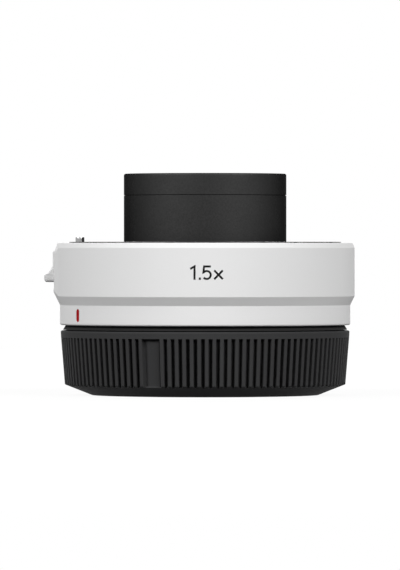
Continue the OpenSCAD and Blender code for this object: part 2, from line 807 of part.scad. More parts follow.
module doublet_front_lens() {
    lens(
        z_doublet_cement, -doublet_cement_depth, z_doublet_rim, doublet_front_depth,
        doublet_clear_r, doublet_r
    );
}

module doublet_rear_lens() {
    lens(z_doublet, doublet_rear_depth, z_doublet_cement, -doublet_cement_depth, doublet_clear_r, doublet_r);
}

// Rear lens cell and its lenses

module rear_lens_cell() {
    web_r = triplet_clear_r + fit;
    color(black_alloy) rotate_extrude() polygon([
        [cell_tail_bore_r, z_cell_bot], [cell_r, z_cell_bot], [cell_r, z_cell_seat],
        [barrel_r, z_cell_seat], [barrel_r, z_barrel_bot], [doublet_r, z_barrel_bot],
        [doublet_r, z_cell_top], [cell_bore_r, z_cell_top], [cell_bore_r, z_triplet],
        [web_r, z_triplet], [web_r, z_rear_lens_rim], [cell_tail_bore_r, z_rear_lens_rim]
    ]);
}

module triplet_ring() {
    color(black_alloy) tube(triplet_clear_r + fit, triplet_r, z_triplet_rim, z_cell_top);
}

module triplet_front_lens() {
    lens(
        z_triplet_upper, -triplet_upper_depth, z_triplet_rim, triplet_front_depth,
        triplet_clear_r, triplet_r
    );
}

module triplet_middle_lens() {
    lens(
        z_triplet_lower, triplet_lower_depth, z_triplet_upper, -triplet_upper_depth,
        triplet_clear_r, triplet_r
    );
}

module triplet_rear_lens() {
    lens(z_triplet, -triplet_rear_depth, z_triplet_lower, triplet_lower_depth, triplet_clear_r, triplet_r);
}

module rear_lens() {
    lens(z_rear_lens, rear_lower_depth, z_rear_lens_rim, -rear_upper_depth, rear_clear_r, rear_lens_r);
}

module rear_lens_ring() {
    color(black_alloy) tube(rear_clear_r + fit, rear_lens_r, z_cell_bot, z_rear_lens);
}

// Frame and electronics

module frame_post(r, angle, z_top) {
    polar(r, angle, z_plate_top - plate_t / 2) cylinder(h = z_top - z_plate_top + plate_t / 2, r = post_r);
}

module main_frame() {
    color(black_alloy) difference() {
        union() {
            rotate_extrude() polygon([
                [collar_bore_r, z_plate_bot], [frame_r, z_plate_bot], [frame_r, z_plate_top],
                [collar_r, z_plate_top], [collar_r, z_floor_bot], [barrel_seat_r, z_floor_bot],
                [barrel_seat_r, z_cell_seat], [collar_bore_r, z_cell_seat]
            ]);
            for (a = shroud_post_angles) frame_post(shroud_post_pcd_r, a, z_floor_bot);
            for (a = board_post_angles) frame_post(board_mid_r, a, z_board_bot);
        }
        for (a = screw_angles) polar(boss_pcd_r, a, z_plate_bot - past)
            cylinder(h = plate_t + 2 * past, r = mount_screw[0] + fit);
        for (a = shroud_post_angles) polar(shroud_post_pcd_r, a, z_floor_top)
            screw_hole(small_screw, small_screw_len + fit);
        for (a = board_post_angles) polar(board_mid_r, a, z_board_top)
            screw_hole(small_screw, small_screw_len + fit);
        for (a = rear_screw_angles) polar(rear_screw_pcd_r, a, z_plate_bot - past)
            cylinder(h = plate_t / 2 + past, r = small_screw[0] + fit);
        polar(lock_pcd_r, left, z_plate_bot - past) cylinder(h = plate_t + 2 * past, r = lock_r + running);
        translate([-flex_w / 2 - fit, flex_y - fit, z_plate_bot - past])
            cube([flex_w + 2 * fit, flex_t + 2 * fit, plate_t + 2 * past]);
    }
}

module circuit_board() {
    color(board_green) difference() {
        sector(board_r, board_r + board_w, z_board_bot, z_board_top, back, board_angle);
        for (a = board_post_angles) polar(board_mid_r, a, z_board_top)
            screw_hole(small_screw, board_t + past);
    }
}

module board_chips() {
    color(black_plastic) for (a = chip_angles) polar(board_mid_r, a, z_board_top)
        translate([-chip_w / 2, -chip_w / 2, 0]) cube([chip_w, chip_w, chip_h]);
}

module board_screws() {
    color(steel) for (a = board_post_angles) polar(board_mid_r, a, z_board_top - screw_sink)
        flat_screw(small_screw, small_screw_len);
}

// The cable drops from the circuit board through the frame, and its foot lies on the camera contact block
module flex_cable() {
    color(amber_film) translate([-flex_w / 2, 0, z_rear_block_top]) {
        translate([0, flex_y, 0]) cube([flex_w, flex_t, z_board_bot - z_rear_block_top]);
        translate([0, flex_y - flex_foot_reach, 0]) cube([flex_w, flex_foot_reach + flex_t, fit]);
    }
}

// Camera mount

module rear_mount_ring() {
    bore = spigot_r - spigot_wall;
    color(steel) difference() {
        union() {
            tube(bore, flange_r, z_rear, z_plate_bot);
            tube(bore, spigot_r, z_spigot_bot, z_plate_bot);
            for (a = lug_angles) sector(bore + spigot_wall / 2, tab_r, z_tab_bot, z_tab_top, a, tab_angle);
        }
        for (a = screw_angles) polar(boss_pcd_r, a, z_rear) mirror([0, 0, 1])
            screw_hole(mount_screw, flange_t + past);
    }
}

module rear_mount_screws() {
    color(steel) for (a = screw_angles) polar(boss_pcd_r, a, z_rear + screw_sink) mirror([0, 0, 1])
        flat_screw(mount_screw, flange_t + plate_t + boss_screw_depth - screw_sink);
}

// A rubber ring with its root inside the housing's wall and its lip flared towards the camera
module mount_seal() {
    root_in_r = flange_r + fit / 2;
    root_out_r = bore_r - fit / 2;
    z_lip = z_rear - seal_reach;
    color(black_rubber) rotate_extrude() polygon([
        [root_in_r, z_body_bot + seal_root_h], [root_out_r, z_body_bot + seal_root_h],
        [root_out_r, z_body_bot], [bore_r + seal_neck, z_body_bot], [seal_lip_r, z_lip],
        [seal_lip_r - seal_t, z_lip], [root_in_r, z_rear]
    ]);
}

module rear_baffle() {
    skirt_r = rear_block_out_r;
    z_skirt_top = z_plate_bot - fit;
    color(black_plastic) difference() {
        rotate_extrude() polygon([
            [0, z_baffle_bot], [skirt_r, z_baffle_bot], [skirt_r, z_skirt_top],
            [skirt_r - baffle_skirt_t, z_skirt_top], [skirt_r - baffle_skirt_t, z_baffle_top],
            [0, z_baffle_top]
        ]);
        translate([-window_x, -window_y, z_baffle_bot - past])
            cube([2 * window_x, 2 * window_y, baffle_t + 2 * past]);
        sector(
            rear_block_r - fit, spigot_r, z_baffle_bot - past, z_plate_bot + past,
            back, rear_block_angle + window_play_angle
        );
    }
}

module rear_contact_block() {
    height = z_rear_block_top - z_rear_block;
    color(black_plastic) difference() {
        sector(rear_block_r, rear_block_out_r, z_rear_block, z_rear_block_top, back, rear_block_angle);
        for (a = rear_screw_angles) polar(rear_screw_pcd_r, a, z_rear_block) mirror([0, 0, 1])
            screw_hole(small_screw, height + past);
    }
}

module rear_contacts() {
    color(gold) for (a = contact_angles) polar(rear_row_r, a, z_rear_block - pad_t)
        translate([-pad_len / 2, -pad_w / 2, 0]) cube([pad_len, pad_w, pad_t]);
}

module rear_contact_screws() {
    length = z_plate_bot + plate_t / 2 - z_rear_block - fit;
    color(steel) for (a = rear_screw_angles) polar(rear_screw_pcd_r, a, z_rear_block + screw_sink)
        mirror([0, 0, 1]) flat_screw(small_screw, length - screw_sink);
}

// Lens lock

module lever_pin_rod(r, half_len) {
    translate([-lever_pin_pcd_r, half_len, (z_arm_bot + z_arm_top) / 2]) rotate([90, 0, 0])
        cylinder(h = 2 * half_len, r = r);
}

// A plate with a hollow for the thumb above its fin, and a stem that reaches into the housing
module release_lever() {
    outline = concat(
        [[-lever_back, z_lever_top], [-lever_back, z_lever_bot]],
        arc([fin_edge_r - fin_tip, z_lever_bot + fin_edge_r], fin_edge_r, 270, 180),
        arc([-fin_tip, z_fin_top + fin_reach], fin_reach, 270, 360, 10),
        arc([lever_top_r - lever_face, z_lever_top - lever_top_r], lever_top_r, 180, 90)
    );
    color(white_paint) difference() {
        union() {
            translate([0, lever_half_w, 0]) rotate([90, 0, 0])
                linear_extrude(2 * lever_half_w) polygon(outline);
            translate([-lever_face + lever_t / 2, -stem_half_w, z_arm_bot])
                cube([lever_face - lever_t / 2 - stem_inner, 2 * stem_half_w, arm_t]);
        }
        lever_pin_rod(lever_pin_r + inlay_play, arm_half_w);
    }
}

// A fork over the lock pin's collar, whose ears are pinned to the lever's stem
module lever_arm() {
    slot_half_w = stem_half_w + running;
    slot_inner = stem_inner - running;
    fork_half_w = lock_r + running;
    color(steel) difference() {
        translate([-arm_outer, -arm_half_w, z_arm_bot]) cube([arm_outer - arm_inner, 2 * arm_half_w, arm_t]);
        translate([-arm_outer - past, -slot_half_w, z_arm_bot - past])
            cube([arm_outer + past - slot_inner, 2 * slot_half_w, arm_t + 2 * past]);
        translate([-lock_pcd_r, 0, z_arm_bot - past]) cylinder(h = arm_t + 2 * past, r = fork_half_w);
        translate([-lock_pcd_r, -fork_half_w, z_arm_bot - past])
            cube([lock_pcd_r, 2 * fork_half_w, arm_t + 2 * past]);
        lever_pin_rod(lever_pin_r + inlay_play, arm_half_w + past);
    }
}

module lever_pin() {
    color(steel) lever_pin_rod(lever_pin_r, arm_half_w);
}

module lock_pin() {
    color(steel) polar(lock_pcd_r, left) rotate_extrude() polygon(concat(
        [
            [0, z_lock_bot], [lock_r, z_lock_bot], [lock_r, z_lock_collar_bot],
            [lock_collar_r, z_lock_collar_bot], [lock_collar_r, z_lock_collar_top],
            [lock_r, z_lock_collar_top]
        ],
        arc([lock_r - lock_tip_r, z_lock_top - lock_tip_r], lock_tip_r, 0, 90), [[0, z_lock_top]]
    ));
}

// Round wire wound in a helix between the frame's plate and the lock pin's collar
module lock_spring() {
    rings = spring_turns * spring_rings;
    z0 = z_plate_top + spring_end;
    climb = z_lock_collar_bot - spring_end - z0;
    wire_r = spring_wire / 2;
    points = [for (i = [0:rings]) for (j = [0:spring_sides - 1])
        let (turn = 360 * i / spring_rings, side = 360 * j / spring_sides, r = spring_r + wire_r * cos(side))
            [r * cos(turn), r * sin(turn), z0 + climb * i / rings + wire_r * sin(side)]];
    walls = [for (i = [0:rings - 1]) for (j = [0:spring_sides - 1])
        let (a = i * spring_sides + j, b = i * spring_sides + (j + 1) % spring_sides)
            each [[a, b, b + spring_sides], [a, b + spring_sides, a + spring_sides]]];
    first = [for (j = [1:spring_sides - 2]) [0, j + 1, j]];
    last = [for (j = [1:spring_sides - 2]) rings * spring_sides * [1, 1, 1] + [0, j, j + 1]];
    color(steel) polar(lock_pcd_r, left) polyhedron(points, concat(walls, first, last));
}

// Rear cap

// A cutter that follows the leaning flank, at a depth below it, and runs out through the slope at its foot
module flank_cut(depth, w) {
    run_out = cap_slope_h + past;
    translate([cap_foot_r - depth, 0, cap_slope_h]) rotate([0, flank_tilt, 0])
        translate([0, -w / 2, -run_out]) cube([depth + 2 * past, w, groove_len + run_out]);
}

module rear_cap() {
    lug_out_r = cap_collar_in_r + cap_collar_t / 2;
    stop_middle = lug_angles[0] - tab_angle / 2 - stop_gap_angle - stop_angle / 2;
    color(black_plastic) {
        difference() {
            rotate_extrude() polygon(concat(
                [[0, 0], [cap_base_r, 0], [cap_foot_r, cap_slope_h]],
                arc([cap_head_r - cap_rim_r, z_cap_flank], cap_rim_r, 0, 90),
                [
                    [cap_head_r - cap_wall, z_cap_rim], [cap_foot_r - cap_wall, z_cap_pocket],
                    [cap_collar_out_r, z_cap_pocket], [cap_collar_out_r, cap_h], [cap_collar_in_r, cap_h],
                    [cap_collar_in_r, cap_floor_t], [0, cap_floor_t]
                ]
            ));
            for (k = [first_groove:groove_count - first_groove])
                rotate([0, 0, panel_angle + k * pitch_angle]) flank_cut(groove_depth, groove_share * pitch);
            rotate([0, 0, panel_angle]) flank_cut(panel_depth, panel_w);
        }
        for (a = lug_angles)
            sector(cap_lug_r, lug_out_r, z_cap_lug_bot, z_cap_lug_top, a - cap_lug_offset, cap_lug_angle);
        sector(cap_lug_r, lug_out_r, z_tab_bot, z_cap_lug_top, stop_middle, stop_angle);
    }
}

housing();
camera_index_mark();
front_mount_ring();
lens_index_dot();
front_mount_screws();
bayonet_spring();
inner_shroud();
socket_liner();
shroud_screws();
front_contact_block();
front_contact_pins();
front_barrel();
front_ring();
front_lens();
lens_spacer();
doublet_front_lens();
doublet_rear_lens();
rear_lens_cell();
triplet_ring();
triplet_front_lens();
triplet_middle_lens();
triplet_rear_lens();
rear_lens();
rear_lens_ring();
main_frame();
circuit_board();
board_chips();
board_screws();
flex_cable();
rear_mount_ring();
rear_mount_screws();
mount_seal();
rear_baffle();
rear_contact_block();
rear_contacts();
rear_contact_screws();
release_lever();
lever_arm();
lever_pin();
lock_pin();
lock_spring();
rear_cap();
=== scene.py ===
"""Camera teleconverter on its rear cap, dressed around its frame.

Sizes are millimetres, meshes are metres.
"""
import math

import bmesh
import bpy
import numpy as np
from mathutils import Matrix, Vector


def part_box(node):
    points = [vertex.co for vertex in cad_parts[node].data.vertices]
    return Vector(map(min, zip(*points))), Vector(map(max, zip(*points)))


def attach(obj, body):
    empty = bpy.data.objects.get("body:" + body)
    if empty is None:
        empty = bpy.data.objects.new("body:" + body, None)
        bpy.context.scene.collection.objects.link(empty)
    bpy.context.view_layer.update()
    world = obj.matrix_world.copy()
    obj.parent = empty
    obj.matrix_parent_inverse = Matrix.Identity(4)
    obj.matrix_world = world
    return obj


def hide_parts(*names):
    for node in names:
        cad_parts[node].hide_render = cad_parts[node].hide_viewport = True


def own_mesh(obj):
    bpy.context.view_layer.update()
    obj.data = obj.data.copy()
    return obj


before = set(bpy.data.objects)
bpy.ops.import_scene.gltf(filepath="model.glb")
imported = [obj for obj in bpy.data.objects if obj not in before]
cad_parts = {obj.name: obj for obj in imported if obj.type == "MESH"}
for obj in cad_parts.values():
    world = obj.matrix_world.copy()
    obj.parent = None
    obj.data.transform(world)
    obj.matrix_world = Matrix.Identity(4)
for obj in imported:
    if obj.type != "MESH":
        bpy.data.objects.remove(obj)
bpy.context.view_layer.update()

# Chassis plate and collar, with the cell of the rear lenses and its retaining rings.
# Turned from aluminium bar and anodised black; the cell drops into the collar and is held by its flange.
MM = 0.001
ALLOY_BLACK = (0.014, 0.014, 0.014, 1)
ALLOY_GREY = (0.042, 0.042, 0.042, 1)
SLOW_SCALE, SLOW_SHARE = 110, 0.3


def effect_group(name):
    """An empty shader group: two colours, a scale and two roughnesses go in.

    A colour, a roughness and a height come out.
    """
    group = bpy.data.node_groups.new(name, "ShaderNodeTree")
    kinds = {"Color": "NodeSocketColor", "Other Color": "NodeSocketColor"}
    for socket in ("Color", "Other Color", "Scale", "Low Roughness", "High Roughness"):
        group.interface.new_socket(socket, in_out="INPUT", socket_type=kinds.get(socket, "NodeSocketFloat"))
    for socket in ("Color", "Roughness", "Height"):
        group.interface.new_socket(socket, in_out="OUTPUT", socket_type=kinds.get(socket, "NodeSocketFloat"))
    return group


def spread_effect(group, factor, source):
    """Lets one varying factor choose between the group's two colours and roughnesses, and be its height."""
    nodes, link = group.nodes, group.links.new
    out = nodes.new("NodeGroupOutput")
    colour = nodes.new("ShaderNodeMix")
    colour.data_type = "RGBA"
    rough = nodes.new("ShaderNodeMix")
    link(factor, colour.inputs["Factor"])
    link(source.outputs["Color"], colour.inputs["A"])
    link(source.outputs["Other Color"], colour.inputs["B"])
    link(factor, rough.inputs["Factor"])
    link(source.outputs["Low Roughness"], rough.inputs["A"])
    link(source.outputs["High Roughness"], rough.inputs["B"])
    link(colour.outputs["Result"], out.inputs["Color"])
    link(rough.outputs["Result"], out.inputs["Roughness"])
    link(factor, out.inputs["Height"])


def fine_grain():
    """Cast, moulded and sprayed skins: fine noise over a slower one, both fixed to the piece."""
    group = effect_group("fine_grain")
    nodes, link = group.nodes, group.links.new
    source = nodes.new("NodeGroupInput")
    coords = nodes.new("ShaderNodeTexCoord")
    fine = nodes.new("ShaderNodeTexNoise")
    fine.inputs["Detail"].default_value = 3
    slow = nodes.new("ShaderNodeTexNoise")
    slow.inputs["Scale"].default_value = SLOW_SCALE
    blend = nodes.new("ShaderNodeMix")
    blend.inputs["Factor"].default_value = SLOW_SHARE
    link(coords.outputs["Object"], fine.inputs["Vector"])
    link(coords.outputs["Object"], slow.inputs["Vector"])
    link(source.outputs["Scale"], fine.inputs["Scale"])
    link(fine.outputs["Fac"], blend.inputs["A"])
    link(slow.outputs["Fac"], blend.inputs["B"])
    spread_effect(group, blend.outputs["Result"], source)
    return group


def turned_lines(name, painted_shade_r):
    """Lathe marks: noise over the distance from the axis and the height, so it runs in circles.

    Past the shade radius in millimetres the marks are multiplied by 0, which leaves the plain first colour
    as painted shade.
    """
    group = effect_group(name)
    nodes, link = group.nodes, group.links.new
    source = nodes.new("NodeGroupInput")
    coords = nodes.new("ShaderNodeTexCoord")
    axes = nodes.new("ShaderNodeSeparateXYZ")
    flat = nodes.new("ShaderNodeCombineXYZ")
    radius = nodes.new("ShaderNodeVectorMath")
    radius.operation = "LENGTH"
    across = nodes.new("ShaderNodeCombineXYZ")
    lines = nodes.new("ShaderNodeTexNoise")
    lines.inputs["Detail"].default_value = 4
    lines.inputs["Roughness"].default_value = 0.7
    inside = nodes.new("ShaderNodeMath")
    inside.operation = "LESS_THAN"
    inside.inputs[1].default_value = painted_shade_r * MM
    bright = nodes.new("ShaderNodeMath")
    bright.operation = "MULTIPLY"
    link(coords.outputs["Object"], axes.inputs["Vector"])
    link(axes.outputs["X"], flat.inputs["X"])
    link(axes.outputs["Y"], flat.inputs["Y"])
    link(flat.outputs["Vector"], radius.inputs[0])
    link(radius.outputs["Value"], across.inputs["X"])
    link(axes.outputs["Z"], across.inputs["Y"])
    link(across.outputs["Vector"], lines.inputs["Vector"])
    link(source.outputs["Scale"], lines.inputs["Scale"])
    link(radius.outputs["Value"], inside.inputs[0])
    link(lines.outputs["Fac"], bright.inputs[0])
    link(inside.outputs["Value"], bright.inputs[1])
    spread_effect(group, bright.outputs["Value"], source)
    return group


GRAIN = fine_grain()


def finish(name, effect, color, other_color, scale, roughness, relief, **constants):
    """A finish: an effect group feeds colour, roughness and a bump of that relief in millimetres."""
    material = bpy.data.materials.new(name)
    material.use_nodes = True
    nodes, link = material.node_tree.nodes, material.node_tree.links.new
    shader = nodes["Principled BSDF"]
    group = nodes.new("ShaderNodeGroup")
    group.node_tree = effect
    group.inputs["Color"].default_value = color
    group.inputs["Other Color"].default_value = other_color
    group.inputs["Scale"].default_value = scale
    group.inputs["Low Roughness"].default_value, group.inputs["High Roughness"].default_value = roughness
    bump = nodes.new("ShaderNodeBump")
    bump.inputs["Distance"].default_value = relief * MM
    link(group.outputs["Color"], shader.inputs["Base Color"])
    link(group.outputs["Roughness"], shader.inputs["Roughness"])
    link(group.outputs["Height"], bump.inputs["Height"])
    link(bump.outputs["Normal"], shader.inputs["Normal"])
    for socket, value in constants.items():
        shader.inputs[socket.replace("_", " ").title().replace("Ior", "IOR")].default_value = value
    return material


def dress(material, *nodes):
    """Gives CAD nodes whose shape is right their finish."""
    for node in nodes:
        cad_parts[node].material_slots[0].material = material


black_alloy = finish("black_alloy", GRAIN, ALLOY_BLACK, ALLOY_GREY, 2600, (0.5, 0.6), 0.02,
                     metallic=1.0, specular_tint=(0.2, 0.2, 0.2, 1))
dress(black_alloy, "main_frame", "rear_lens_cell", "triplet_ring", "rear_lens_ring", "lens_spacer")

# Lenses: the single rear lens, the cemented triplet, the cemented doublet and the single front lens.
# Ground from optical glass, with a coating whose faint tint shifts from the middle to the rim.
LENS_RIM_W = 1.8
CEMENT_GAP = 0.01
RIM_CHAMFER = 0.12
DOME_ROWS = 28
# Points nearer than the first length in metres are merged, and edges shorter than the second removed
MERGE_DIST, SLIVER_DIST = 1e-7, 1e-8
HAZE_SCALE, HAZE_SHARE = 300, 0.2


def rounded(corners, closed=True, steps=6):
    """Outline through corners (x, z, fillet): a fillet becomes an arc with one more point at each side.

    The arc's centre lies on the corner's bisector, fillet / sin(half angle) from the corner.
    """
    corners = np.array(corners, float)
    outline = []
    for i, (x, z, fillet) in enumerate(corners):
        here = np.array((x, z))
        if fillet == 0:
            outline.append(here[None])
            continue
        before = corners[i - 1, :2] - here
        after = corners[(i + 1) % len(corners), :2] - here
        before /= np.hypot(*before)
        after /= np.hypot(*after)
        half = math.acos(np.clip(before @ after, -1, 1)) / 2
        reach = fillet / math.tan(half)
        bisector = (before + after) / np.hypot(*(before + after))
        middle = here + bisector * fillet / math.sin(half)
        first = math.atan2(*(here + before * reach - middle)[::-1])
        last = math.atan2(*(here + after * reach - middle)[::-1])
        turn = (last - first + math.pi) % math.tau - math.pi
        angles = first + turn * np.linspace(0, 1, steps)
        arc = middle + fillet * np.stack((np.cos(angles), np.sin(angles)), -1)
        lead = reach + fillet / 2
        outline += [(here + before * lead)[None], arc, (here + after * lead)[None]]
    outline = np.concatenate(outline)
    return np.concatenate((outline, outline[:1])) if closed else outline


def revolved(outline, columns=192, centre=(0, 0)):
    """Grid of an outline (radius, height) turned about an upright axis: each row is a circle."""
    turn = np.linspace(0, math.tau, columns + 1)
    radius, height = outline[:, :1], outline[:, 1:]
    return np.stack((
        centre[0] + radius * np.cos(turn), centre[1] + radius * np.sin(turn), height + 0 * turn,
    ), -1)


def grid_piece(name, *grids, sharp=40):
    """One mesh from grids of points, rows x columns x 3: each cell between four neighbours becomes a face.

    Points that meet are merged, so seams and poles close, and faces are then turned outwards.
    """
    faces, start = [], 0
    for grid in grids:
        number = start + np.arange(grid.shape[0] * grid.shape[1]).reshape(grid.shape[:2])
        cells = np.stack((number[:-1, :-1], number[:-1, 1:], number[1:, 1:], number[1:, :-1]), -1)
        faces += cells.reshape(-1, 4).tolist()
        start += number.size
    points = np.concatenate([grid.reshape(-1, 3) for grid in grids]) * MM
    mesh = bpy.data.meshes.new(name)
    mesh.from_pydata(points.tolist(), [], faces)
    work = bmesh.new()
    work.from_mesh(mesh)
    bmesh.ops.remove_doubles(work, verts=work.verts, dist=MERGE_DIST)
    bmesh.ops.dissolve_degenerate(work, edges=work.edges, dist=SLIVER_DIST)
    bmesh.ops.recalc_face_normals(work, faces=work.faces)
    work.to_mesh(mesh)
    work.free()
    piece = bpy.data.objects.new(name, mesh)
    bpy.context.scene.collection.objects.link(piece)
    smooth(piece, sharp)
    return piece


def smooth(piece, sharp):
    """Smooth shading, with edges kept sharp where faces meet at more than that angle."""
    piece.data.shade_smooth()
    piece.data.set_sharp_from_angle(angle=math.radians(sharp))


def place(piece, body, slot, material, *nodes):
    """A finished piece rides on its body, stands for CAD nodes and takes its finish."""
    piece.data.materials.clear()
    piece.data.materials.append(material)
    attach(piece, body)
    if nodes:
        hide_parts(*nodes)


def extent(node):
    """Lowest and highest corner of a CAD node in millimetres."""
    low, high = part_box(node)
    return np.array(low) / MM, np.array(high) / MM


def dome(edge_z, depth, edge_r):
    """Rows of a spherical cap from the axis to its edge: z = edge + sqrt(c*c - r*r) - c + depth."""
    curve = (edge_r ** 2 + depth ** 2) / (2 * abs(depth))
    radius = edge_r * np.linspace(0, 1, DOME_ROWS)
    height = np.sqrt(curve ** 2 - radius ** 2) - curve + abs(depth)
    return np.stack((radius, edge_z + math.copysign(1, depth) * height), -1)


def lens(node, lower_depth, upper_depth):
    """A lens between two spherical caps with flat rims; a positive depth bulges upwards."""
    low, high = extent(node)
    outer_r = high[0]
    clear_r = outer_r - LENS_RIM_W
    lower_z = low[2] - min(lower_depth, 0) + CEMENT_GAP
    upper_z = high[2] - max(upper_depth, 0) - CEMENT_GAP
    rim = rounded([
        (clear_r, lower_z, 0), (outer_r, lower_z, RIM_CHAMFER),
        (outer_r, upper_z, RIM_CHAMFER), (clear_r, upper_z, 0),
    ], closed=False, steps=3)
    lower, upper = dome(lower_z, lower_depth, clear_r), dome(upper_z, upper_depth, clear_r)
    outline = np.concatenate((lower, rim, upper[::-1]))
    piece = grid_piece(node + "_glass", revolved(outline, columns=128), sharp=20)
    place(piece, "converter", "coated_glass", coated_glass, node)


def lens_coating():
    """The coating's tint: two pale colours mixed by the distance from the axis, with a breath of haze."""
    group = effect_group("lens_coating")
    nodes, link = group.nodes, group.links.new
    source = nodes.new("NodeGroupInput")
    coords = nodes.new("ShaderNodeTexCoord")
    flat = nodes.new("ShaderNodeVectorMath")
    flat.operation = "MULTIPLY"
    flat.inputs[1].default_value = (1, 1, 0)
    radius = nodes.new("ShaderNodeVectorMath")
    radius.operation = "LENGTH"
    share = nodes.new("ShaderNodeMath")
    share.operation = "MULTIPLY"
    haze = nodes.new("ShaderNodeTexNoise")
    haze.inputs["Scale"].default_value = HAZE_SCALE
    blend = nodes.new("ShaderNodeMix")
    blend.inputs["Factor"].default_value = HAZE_SHARE
    link(coords.outputs["Object"], flat.inputs[0])
    link(flat.outputs["Vector"], radius.inputs[0])
    link(radius.outputs["Value"], share.inputs[0])
    link(source.outputs["Scale"], share.inputs[1])
    link(coords.outputs["Object"], haze.inputs["Vector"])
    link(share.outputs["Value"], blend.inputs["A"])
    link(haze.outputs["Fac"], blend.inputs["B"])
    spread_effect(group, blend.outputs["Result"], source)
    return group


coated_glass = finish("coated_glass", lens_coating(), (0.88, 0.97, 0.95, 1), (0.93, 0.90, 0.98, 1), 60,
                      (0.0, 0.01), 0.0, transmission_weight=1.0, ior=1.55,
                      specular_tint=(0.20, 0.24, 0.34, 1))
lens("rear_lens", 1.8, -1.2)
lens("triplet_rear_lens", -1.8, 3.9)
lens("triplet_middle_lens", 3.9, -3.2)
lens("triplet_front_lens", -3.2, 1.1)
lens("doublet_rear_lens", 1.9, -2.8)
lens("doublet_front_lens", -2.8, 1.7)
lens("front_lens", 1.1, 3.0)

# Front barrel: the black tube that reaches into the lens in front, with doublet and first lens in it.
# Turned from aluminium, blasted and anodised matt black; its foot sits in the chassis collar.
barrel_low, barrel_high = extent("front_barrel")
BARREL_R = barrel_high[0]
BARREL_WALL, COUNTERBORE_WALL, COUNTERBORE_H = 3.15, 1.85, 3.0
DOUBLET_SEAT_Z, SHOULDER_T, SHOULDER_R = extent("doublet_rear_lens")[0][2], 2.0, 14.4
SEAM_EDGE_R, SMALL_EDGE_R = 0.1, 0.08
bore = BARREL_R - BARREL_WALL
counterbore = BARREL_R - COUNTERBORE_WALL
lens_seat_z = barrel_high[2] - COUNTERBORE_H
front_barrel = grid_piece("front_barrel_tube", revolved(rounded([
    (bore, barrel_low[2], SMALL_EDGE_R), (BARREL_R, barrel_low[2], SMALL_EDGE_R),
    (BARREL_R, barrel_high[2], SEAM_EDGE_R), (counterbore, barrel_high[2], SMALL_EDGE_R),
    (counterbore, lens_seat_z, 0), (bore, lens_seat_z, SMALL_EDGE_R),
    (bore, DOUBLET_SEAT_Z, 0), (SHOULDER_R, DOUBLET_SEAT_Z, SMALL_EDGE_R),
    (SHOULDER_R, DOUBLET_SEAT_Z - SHOULDER_T, SMALL_EDGE_R), (bore, DOUBLET_SEAT_Z - SHOULDER_T, 0),
])))
place(front_barrel, "converter", "black_alloy", black_alloy, "front_barrel")

# Front ring: screwed into the barrel's mouth over the first lens, with light-trap steps down to the glass.
# The same matt black alloy; its skirt holds the lens down, and a fine seam shows where it meets the barrel.
ring_low, ring_high = extent("front_ring")
RING_H, RIM_R, MOUTH_WALL, BAFFLE_STEPS = 5.1, 0.4, 1.75, 5
SKIRT_R, SKIRT_IN_R = 17.4, 15.6
SEAM_DEPTH, SEAM_FILL = 0.22, 0.11
ring_z = ring_high[2] - RING_H
mouth_r = BARREL_R - MOUTH_WALL
step_top = ring_high[2] - RIM_R
step_h = (step_top - ring_z) / BAFFLE_STEPS
step_w = (mouth_r - SKIRT_IN_R) / BAFFLE_STEPS
steps = [
    (mouth_r - (i + inner) * step_w, step_top - i * step_h, SMALL_EDGE_R * inner)
    for i in range(BAFFLE_STEPS) for inner in (0, 1)
]
front_ring = grid_piece("front_ring_rim", revolved(rounded([
    (SKIRT_R, ring_low[2], SMALL_EDGE_R), (SKIRT_R, ring_z - SEAM_FILL, 0),
    (BARREL_R - SEAM_DEPTH, ring_z - SEAM_FILL, 0), (BARREL_R - SEAM_DEPTH, ring_z, 0),
    (BARREL_R, ring_z, SEAM_EDGE_R),
    (BARREL_R, ring_high[2], RIM_R), (mouth_r, ring_high[2], SMALL_EDGE_R), *steps,
    (SKIRT_IN_R, ring_low[2], SMALL_EDGE_R),
])))
place(front_ring, "converter", "black_alloy", black_alloy, "front_ring")

# Circuit board with its chips, its flat cable and its screws, all shut inside the housing.
# Green glass-fibre laminate, moulded chip cases, amber film and plain steel screws into the chassis posts.
board_green = finish("board_green", GRAIN, (0.02, 0.09, 0.04, 1), (0.03, 0.13, 0.06, 1),
                     2600, (0.35, 0.5), 0.01)
amber_film = finish("amber_film", GRAIN, (0.42, 0.20, 0.03, 1), (0.52, 0.27, 0.05, 1),
                    900, (0.28, 0.4), 0.004)
black_moulding = finish("black_moulding", GRAIN, (0.018, 0.018, 0.019, 1), (0.030, 0.030, 0.031, 1), 3800,
                        (0.56, 0.7), 0.015, specular_ior_level=0.15)
spring_steel = finish("spring_steel", GRAIN, (0.50, 0.50, 0.51, 1), (0.60, 0.60, 0.61, 1),
                      3000, (0.28, 0.42), 0.006, metallic=1.0)
dress(board_green, "circuit_board")
dress(amber_film, "flex_cable")
dress(black_moulding, "board_chips")
dress(spring_steel, "board_screws")

# Housing: the shell that everything sits in, with two bands, a taper between them and the pad for the lever.
# Die-cast and machined, then sprayed satin white; a ledge inside its lens end carries the steel mount ring.
PAINT_WHITE = (0.80, 0.80, 0.80, 1)
PAINT_LIGHT = (0.83, 0.83, 0.83, 1)
white_paint = finish("white_paint", GRAIN, PAINT_WHITE, PAINT_LIGHT, 2400, (0.5, 0.6), 0.006,
                     specular_ior_level=0.01)
